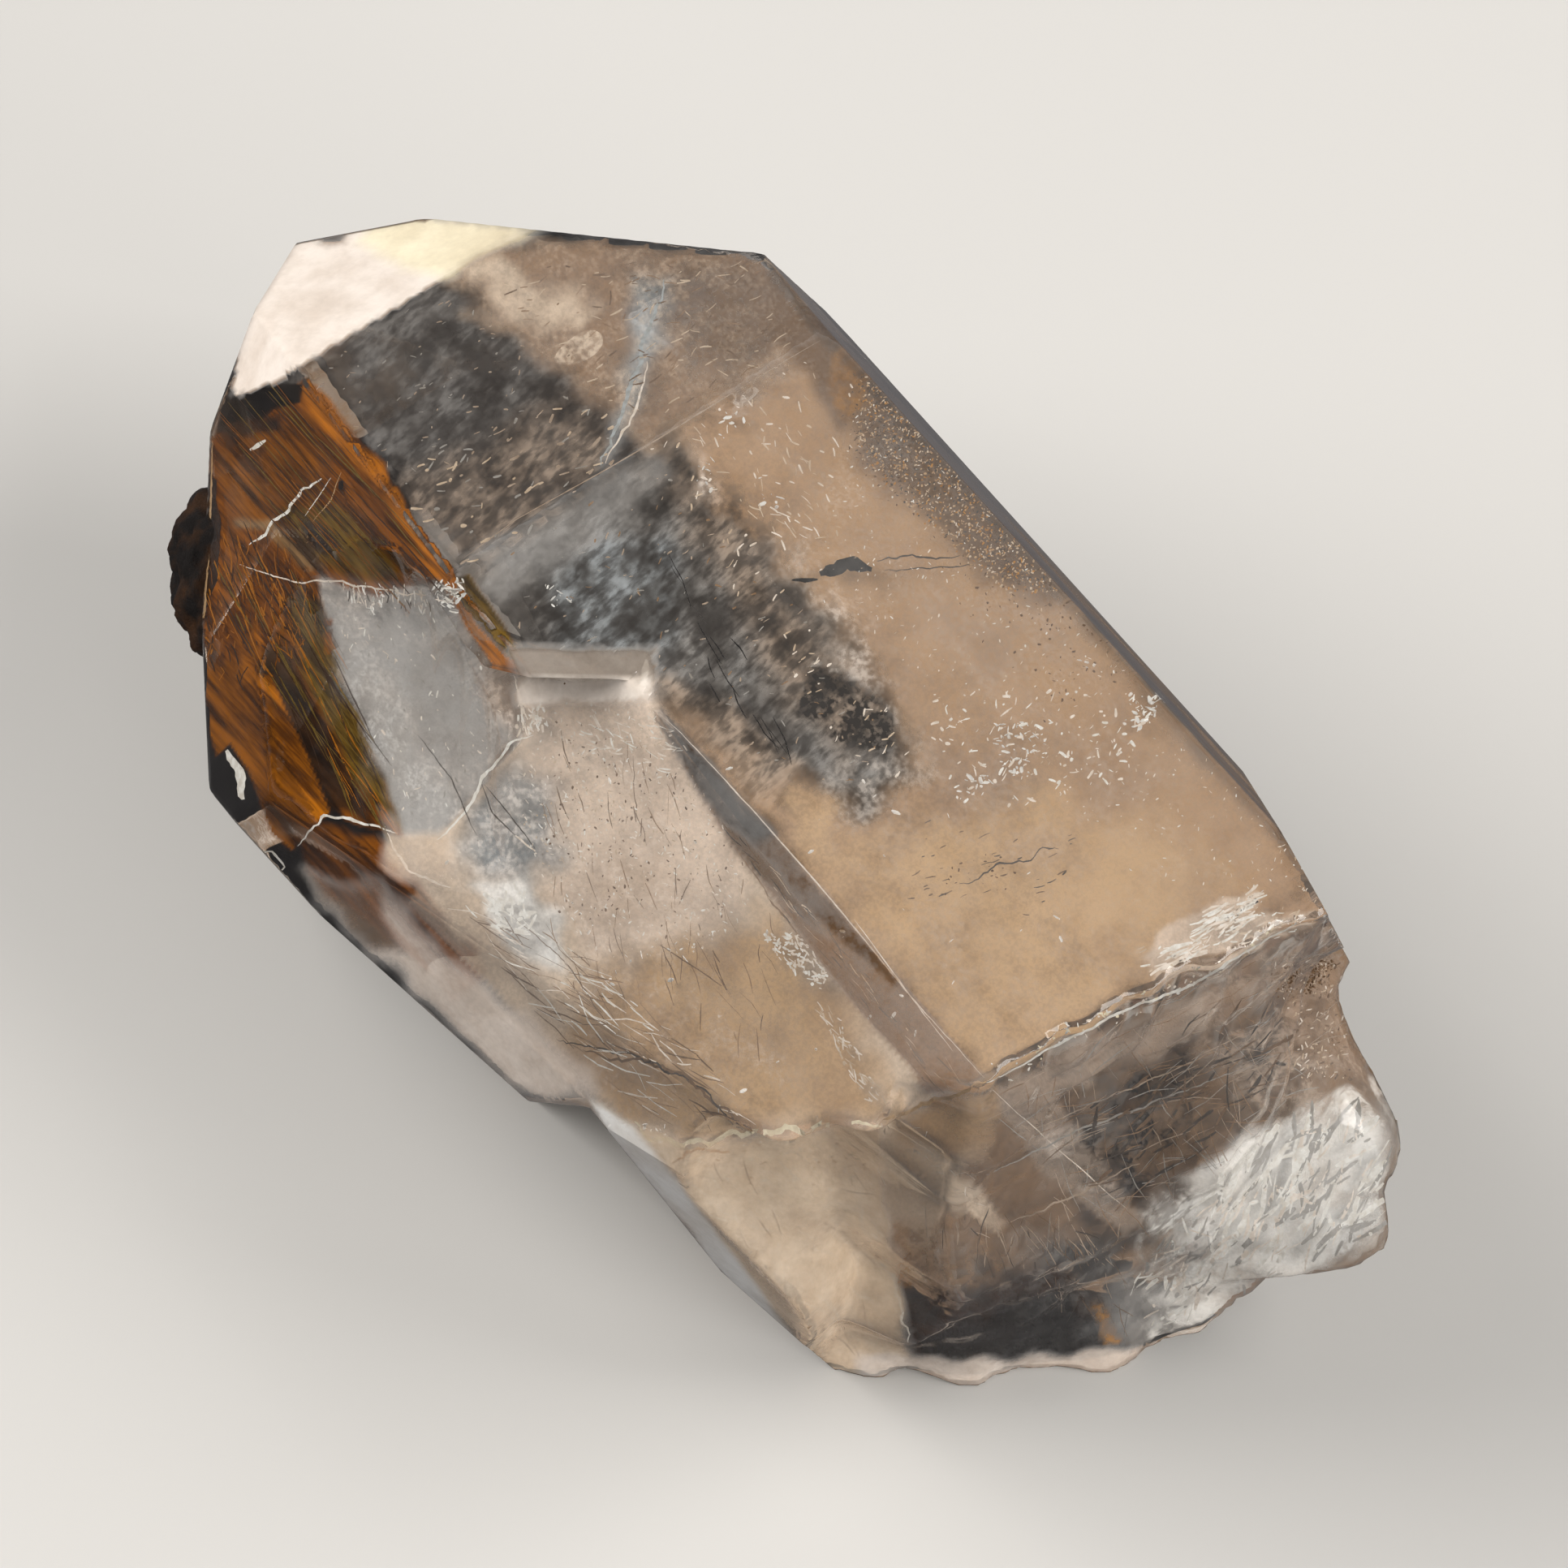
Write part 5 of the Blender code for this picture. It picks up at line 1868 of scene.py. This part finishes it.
     (Tone.PALE, Tone.HAZE), 36, (0.1, 0.5), (0.02, 0.06), -48, 30),
    # Specks and flares in the chip.
    (31, ((-17.8, 7.8), (-12.9, 6.9), (-10.8, 4.3), (-10.8, 2.1), (-13.4, -1.7), (-14.7, -1.6),
      (-16.2, 2.1), (-17.4, 5.3)),
     (Tone.WHITE, Tone.PALE, Tone.ASH), 120, (0.06, 0.3), (0.03, 0.1), -70, 25),
    (32, ((-17.2, 7.8), (-12.9, 7.3), (-13.2, 6.5), (-17, 7.1)),
     (Tone.WHITE, Tone.DUSK, Tone.PALE), 70, (0.1, 0.5), (0.03, 0.09), -85, 14),
    (33, ((-13.4, 7.8), (-12.4, 7.8), (-12.7, 6.5), (-13.5, 7)),
     (Tone.WHITE, Tone.ASH), 40, (0.1, 0.5), (0.04, 0.12), -35, 30),
    # Lighter and darker fibres through the iron.
    (34, ((-21.5, 14.2), (-18.3, 15.3), (-12.9, 8.1), (-15.8, 7.6), (-18, 8.5), (-21.2, 10.4)),
     (Tone.UMBER, Tone.OLIVE, Tone.UMBER, Tone.RUST), 120, (0.8, 4), (0.02, 0.08), -48, 2, 0.01),
    (35, ((-22.1, 8.5), (-20.2, 8.5), (-18.1, 7.5), (-15, -1.6), (-16.7, -1.1), (-18.9, 2.4), (-21.2, 5.3)),
     (Tone.UMBER, Tone.UMBER, Tone.OLIVE, Tone.ORANGE), 130, (0.8, 4), (0.02, 0.09), -62, 4, 0.01),
    (36, ((-22.4, 9.7), (-20.2, 9.9), (-18.1, 7.8), (-18, 5.9), (-22.4, 6.5)),
     (Tone.ORANGE, Tone.RUST, Tone.UMBER), 110, (0.2, 1.4), (0.02, 0.07), -78, 12),
    (37, ((-22.6, 6.5), (-19.9, 7), (-18, 5.3), (-20.2, 3.7), (-22.5, 4.3)),
     (Tone.ORANGE, Tone.RUST, Tone.UMBER), 70, (0.15, 0.8), (0.03, 0.1), -80, 25),
)

# Painted glints: white grains that stand in for the sparkle of light off cracks inside.
PAINTED_GLINTS = made(
    Stroke,
    (((8.1, 2.4), (8.7, 2.4), (9, 1.6), (8.5, 1.3), (8.1, 1.7)), Tone.WHITE, 1, 0.2, 0.3),
    (((8.5, 1.3), (9.3, 1), (9.2, 0.4), (8.6, 0.5)), Tone.WHITE, 1, 0.2, 0.3),
    (((6.2, -0.6), (7.4, 0.5), (8.3, 0.3), (6.8, -0.7)), Tone.WHITE, 0.9, 0.2, 0.3),
    (((9.2, 2.1), (10, 2.2), (9.9, 1), (9.4, 1.1)), Tone.WHITE, 0.8, 0.3, 0.3),
    (((12.8, 2.6), (13.8, 3), (14.7, 3.8), (14.4, 2.4), (13.6, 2.2), (13.2, 2.2)),
     Tone.WHITE, 0.9, 0.2, 0.3),
    (((13, 3.5), (13.7, 3.4), (13.5, 2.9), (13, 3)), Tone.WHITE, 0.7, 0.2, 0.3),
    (((11.6, 5.3), (12.2, 4.7), (12.1, 4.3), (11.6, 4.6)), Tone.WHITE, 0.7, 0.2, 0.3),
    (((5.2, -5.7), (5.8, -5.3), (6.3, -5.7), (6.8, -5.2), (6.8, -5.8), (5.5, -6.2)),
     Tone.WHITE, 0.8, 0.15, 0.2),
    (((-11.4, -4.3), (-10.4, -4), (-9.5, -4.9), (-9.7, -5.8), (-10.9, -5.8)), Tone.WHITE, 0.6, 0.3, 0.3),
    (((-9.2, 7.8), (-8.5, 7.6), (-8.3, 6.8), (-9, 6.9)), Tone.WHITE, 0.8, 0.2, 0.2),
    (((-3.3, 12.9), (-2.6, 12.7), (-2.7, 11.5), (-3.1, 11.6)), Tone.PALE, 0.6, 0.2, 0.2),
    (((-2.4, 14.4), (-1.5, 14.2), (-1.6, 13.4), (-2.3, 13.5)), Tone.PALE, 0.5, 0.2, 0.2),
    (((-1.3, 12), (-0.7, 11.6), (0.2, 10.7), (-0.3, 10.7), (-1.1, 11.4)), Tone.PALE, 0.5, 0.2, 0.2),
    (((-16.1, 7.8), (-15.6, 7.7), (-15.8, 6.2), (-16.1, 6.3)), Tone.WHITE, 0.9, 0.1, 0.1),
    (((-13.4, 7.8), (-12.4, 7.8), (-12.6, 6.9), (-13.3, 7.1)), Tone.WHITE, 0.6, 0.2, 0.2),
    (((-5.9, -13.1), (-5.3, -13.2), (-4.3, -13.8), (-4.9, -14)), Tone.WHITE, 0.7, 0.2, 0.2),
    (((-10.4, 4.3), (20.1, -4.3), (7.4, -11.6), (-2.1, -13.2), (-14.8, -3.6)), Tone.WHITE, 0.006, 2, 0.5),
)

PITS = made(
    Stroke,
    (((2.7, 16), (4.6, 15.4), (7.9, 11.6), (10.6, 7.2), (8.1, 7.8), (4.3, 11.3), (2.5, 13.5)),
     Tone.BROWN, 1, 0.8, 0.5),
    (((4.3, 12.9), (9, 10.4), (13.2, 4.3), (10.6, 3.4), (5.8, 8.5)), Tone.BROWN, 0.12, 2, 0.8),
    (((-8.8, 3.1), (-2.1, -1.4), (-2.7, -5.5), (-9.1, -4.9)), Tone.BROWN, 0.12, 1, 0.5),
    (((18.9, -6.8), (21.7, -6.8), (22.1, -8.4), (19.2, -8.1)), Tone.BROWN, 0.6, 0.5, 0.3),
    (((6.5, -2.7), (9, -2.4), (8.9, -4.1), (6.2, -4.3)), Tone.BROWN, 0.15, 0.5, 0.3),
    (((-18.6, 10), (-17.9, 10), (-17.7, 9.2), (-18.5, 9.2)), Tone.BROWN, 0.5, 0.3, 0.2),
)

IRON = made(
    Stroke,
    # The upper lobe, with a bright fibrous edge on its right.
    (((-22.4, 13.4), (-21.5, 15.5), (-18.2, 15.5), (-16.4, 13.1), (-15.5, 12.4), (-15.3, 11.5),
      (-12.7, 8.1), (-15.8, 7.3), (-18, 8), (-20.2, 8.3), (-22.2, 10)), Tone.RUST, 0.97, 0.25, 0.14),
    (((-21.8, 13.9), (-18.5, 14.3), (-17.7, 12.3), (-18.5, 10.2), (-21.2, 10.2), (-22.1, 11.9)),
     Tone.AMBER, 0.97, 0.5, 0.3),
    (((-18.8, 15.6), (-18.2, 15.5), (-16.4, 13.1), (-15.5, 12.4), (-15.3, 11.5), (-15.8, 11.5),
      (-17.1, 12.8), (-18.4, 14.4)), Tone.ORANGE, 0.97, 0.3, 0.12),
    (((-15.6, 11.6), (-15, 11.5), (-14.1, 9.6), (-12.8, 8.1), (-13.3, 7.8), (-14.9, 9.6)),
     Tone.ORANGE, 0.97, 0.3, 0.12),
    (((-21.7, 15.6), (-18.7, 15.6), (-18.8, 14.8), (-19.9, 14.6), (-20.6, 13.9), (-22.2, 13.7),
      (-22, 14.7)), Tone.BLACK, 0.97, 0.12, 0.08),
    (((-22.2, 13.9), (-19.6, 14.4), (-19.6, 13.9), (-21.5, 13.3)), Tone.UMBER, 0.9, 0.4, 0.2),
    (((-19.5, 10.7), (-17.4, 10.8), (-15.4, 9.1), (-14.8, 8.1), (-17, 8.1), (-18.6, 8.8)),
     Tone.OLIVE, 0.95, 0.6, 0.3),
    (((-18.7, 10.1), (-17.9, 10.1), (-17, 9.1), (-17.7, 8.7), (-18.5, 9.1)), Tone.UMBER, 0.8, 0.4, 0.3),
    (((-21.5, 10.2), (-19.9, 10.4), (-18.5, 9.3), (-17.9, 8.3), (-20.8, 8.3)), Tone.TAUPE, 0.8, 0.4, 0.2),
    # The two stripes to the right of the chip.
    (((-13.3, 8), (-12.8, 8.1), (-11.9, 6.2), (-10.8, 5), (-9.7, 4.3), (-10, 4.1), (-11.2, 4.6),
      (-12.3, 6.1)), Tone.ORANGE, 0.97, 0.1, 0.05),
    (((-12.7, 7.9), (-12.2, 8.1), (-10.8, 6.2), (-10, 4.4), (-10.7, 5), (-11.6, 6.2)),
     Tone.OLIVE, 0.92, 0.12, 0.06),
    # The lower lobe: fibres, a dark middle and a smooth amber face.
    (((-22.7, 10), (-20.2, 9.9), (-18.1, 7.8), (-17.2, 4.6), (-14.7, -2), (-17, -1.4), (-18.9, 2.1),
      (-21.2, 4.3), (-22.6, 4.5)), Tone.RUST, 0.95, 0.2, 0.15),
    (((-20.7, 5.3), (-19.3, 5.3), (-15.8, -1.7), (-17.7, -0.8), (-19.6, 2.7)), Tone.UMBER, 0.92, 0.5),
    (((-19.3, 7.2), (-18, 7.2), (-17, 4), (-14.8, -1.7), (-16.7, 0.2), (-18.6, 4.3)),
     Tone.OLIVE, 0.92, 0.4, 0.2),
    (((-22.9, 4.8), (-22.5, 2.4), (-22.1, 1.1), (-21.6, 1.6), (-20.8, 0.5), (-19.9, -1.9), (-19.1, -2.6),
      (-17.9, -1.1), (-19.7, 3.1), (-20.5, 4.2), (-21.2, 4.8)), Tone.AMBER, 0.98, 0.12, 0.08),
    (((-20.6, 4.3), (-19.9, 4.2), (-17.6, -1.1), (-18.1, -1.5), (-19.7, 1.8)),
     Tone.ORANGE, 0.98, 0.12, 0.06),
    (((-21.2, 6.2), (-20.2, 6.5), (-20.4, 4), (-21.2, 3.8)), Tone.ORANGE, 0.9, 0.3),
    (((-17.9, 5.8), (-17.5, 6), (-17.5, 5.1), (-17.8, 5)), Tone.ORANGE, 0.95, 0.08, 0.05),
    (((-17.8, 6.4), (-17.5, 6.4), (-17.5, 6.1), (-17.8, 6.1)), Tone.ORANGE, 0.9, 0.08, 0.05),
    # What runs on below the crack, fading.
    (((-18.9, -1.5), (-15.4, -2.1), (-11.6, -7.1), (-12.6, -8.5), (-18.5, -3.5)), Tone.RUST, 0.7, 0.5, 0.4),
)


@dataclass
class IronCrust:
    """The dark lump of iron ore on the front edge."""

    middle: Triple = (-19.3, -8.6, -3.5)
    halves: Triple = (3.8, 1.6, 2.0)
    turn: float = -42.0
    relief: float = 0.35
    lumps_per_unit: float = 2.2
    lump_fade: float = 0.8
    lump_step: float = 2.0
    lump_octaves: int = 3
    patches_per_mm: float = 0.7
    patch_edge: Pair = (0.4, 0.65)
    grain_per_mm: float = 4.0
    grain_dulling: float = 0.4
    polish: float = 0.25
    bump_strength: float = 0.7
    bump_rise: float = 0.2

    def build(self) -> Item:
        """Make the lump."""
        place = Matrix.Translation(Vector(self.middle)) @ Matrix.Rotation(math.radians(self.turn), 4, "Z")

        def lumps(way: Vector) -> float:
            """Return the lump's swelling in one direction."""
            place = way * self.lumps_per_unit
            return self.relief * noise.fractal(place, self.lump_fade, self.lump_step, self.lump_octaves)

        crust = rounded_lump("iron_crust", self.halves, place, lumps, subdivisions=5)
        crust.data.shade_smooth()
        crust.data.materials.append(self.ore())
        return crust

    def ore(self) -> bpy.types.Material:
        """Return the crust's finish: black and brown patches, dull and pitted."""
        shader = Shader("iron_crust")
        patches = shader.window(shader.noise(self.patches_per_mm, detail=6.0), *self.patch_edge)
        grain = shader.noise(self.grain_per_mm, detail=5.0, rough=0.7)
        return shader.finish(shader.solid({
            "Base Color": shader.mix(patches, Tone.BLACK.value, Tone.UMBER.value),
            "Roughness": shader.plus(shader.times(grain, self.grain_dulling), self.polish),
            "Normal": shader.bump(grain, self.bump_strength, self.bump_rise),
        }))


VEILS = (
    (
        # The deepest sheet carries the painted shade of the clear windows.
        Veil("depths", PAINTED_WINDOW_SHADE, depth=4.2, swell=0.6, pitch=0.4, seed=1.0),
        VeilFinish("depths", clumps=0.12, flecks=0.0),
    ),
    (
        # The skin's strokes again, painted highlights and fill light among them, a millimetre under the
        # skin.
        Veil("cloud", SKIN, depth=1.0, pitch=0.2, seed=2.0),
        VeilFinish(
            "cloud", clump_per_mm=0.3, clumps=0.14, fleck_per_mm=5.0, flecks=0.14,
            dark=(0.88, 0.84, 0.80, 1.0), light=(1.08, 1.08, 1.08, 1.0),
        ),
    ),
    (
        Veil("flecks", FLECKS, depth=2.0, swell=0.8, pitch=0.28, seed=7.0),
        VeilFinish(
            "flecks", clump_per_mm=0.6, clumps=0.8, fleck_per_mm=2.8, flecks=0.6,
            stretch=(0.42, 1.0, 1.0), turn=-90.0,
        ),
    ),
    (
        Veil("mottles", MOTTLES, depth=1.6, swell=0.6, pitch=0.28, seed=11.0),
        VeilFinish("mottles", clump_per_mm=1.0, clumps=0.95, fleck_per_mm=4.0, flecks=0.4),
    ),
    (
        Veil("stain", STAIN, depth=0.8, pitch=0.2, seed=3.0),
        VeilFinish("stain", clump_per_mm=1.1, clumps=0.35, flecks=0.4),
    ),
    (
        Veil("iron", IRON, depth=0.9, swell=0.3, pitch=0.11, seed=4.0),
        VeilFinish(
            "iron", clumps=0.05, fleck_per_mm=3.0, flecks=0.0, stretch=(0.10, 1.0, 1.0),
            dark=(0.18, 0.15, 0.11, 1.0), light=(1.34, 1.2, 0.8, 1.0), tint_per_mm=2.2, roughness=0.4,
        ),
    ),
)

STREWN = (
    (
        # White grains painted as glints.
        Grains("glints", PAINTED_GLINTS, 24.0, (0.05, 0.22), (1.0, 0.45, 0.16), depth=0.5, swell=0.3),
        PlainFinish("glints", Tone.WHITE, roughness=0.25, metal=0.15, mottle=(0.9, 0.9, 0.9, 1.0)),
    ),
    (
        Grains("pits", PITS, 34.0, (0.03, 0.10), depth=0.14, seed=5),
        PlainFinish("pits", Tone.BROWN, roughness=0.8),
    ),
)


def main() -> None:
    """Build the dressed stone and its studio."""
    logging.basicConfig(level=logging.INFO, format="%(name)s: %(message)s")
    crystal = CrystalBody().build()
    bench = Bench.under(crystal)
    Studio().build(bench.metres(Vector(SIGHT.middle)))
    skin = Skin(crystal)
    Dressing().paint(crystal)
    for veil, finish in VEILS:
        sheet = veil.build(skin)
        sheet.data.materials.append(finish.material())
        sheet.visible_shadow = False
        bench.settle(sheet)
    hairs = tuple(hair for wisps in WISPS for hair in wisps.threads())
    cracks = Threads("cracks", CRACKS + hairs).build(skin)
    cracks.data.materials.append(PlainFinish("cracks").material())
    bench.settle(cracks)
    tree = scatter_tree()
    for grains, finish in STREWN:
        bench.settle(grains.build(skin, tree, finish.material()))
    bench.settle(IronCrust().build())
    bench.settle(crystal, NODE)


if __name__ == "__main__":
    main()
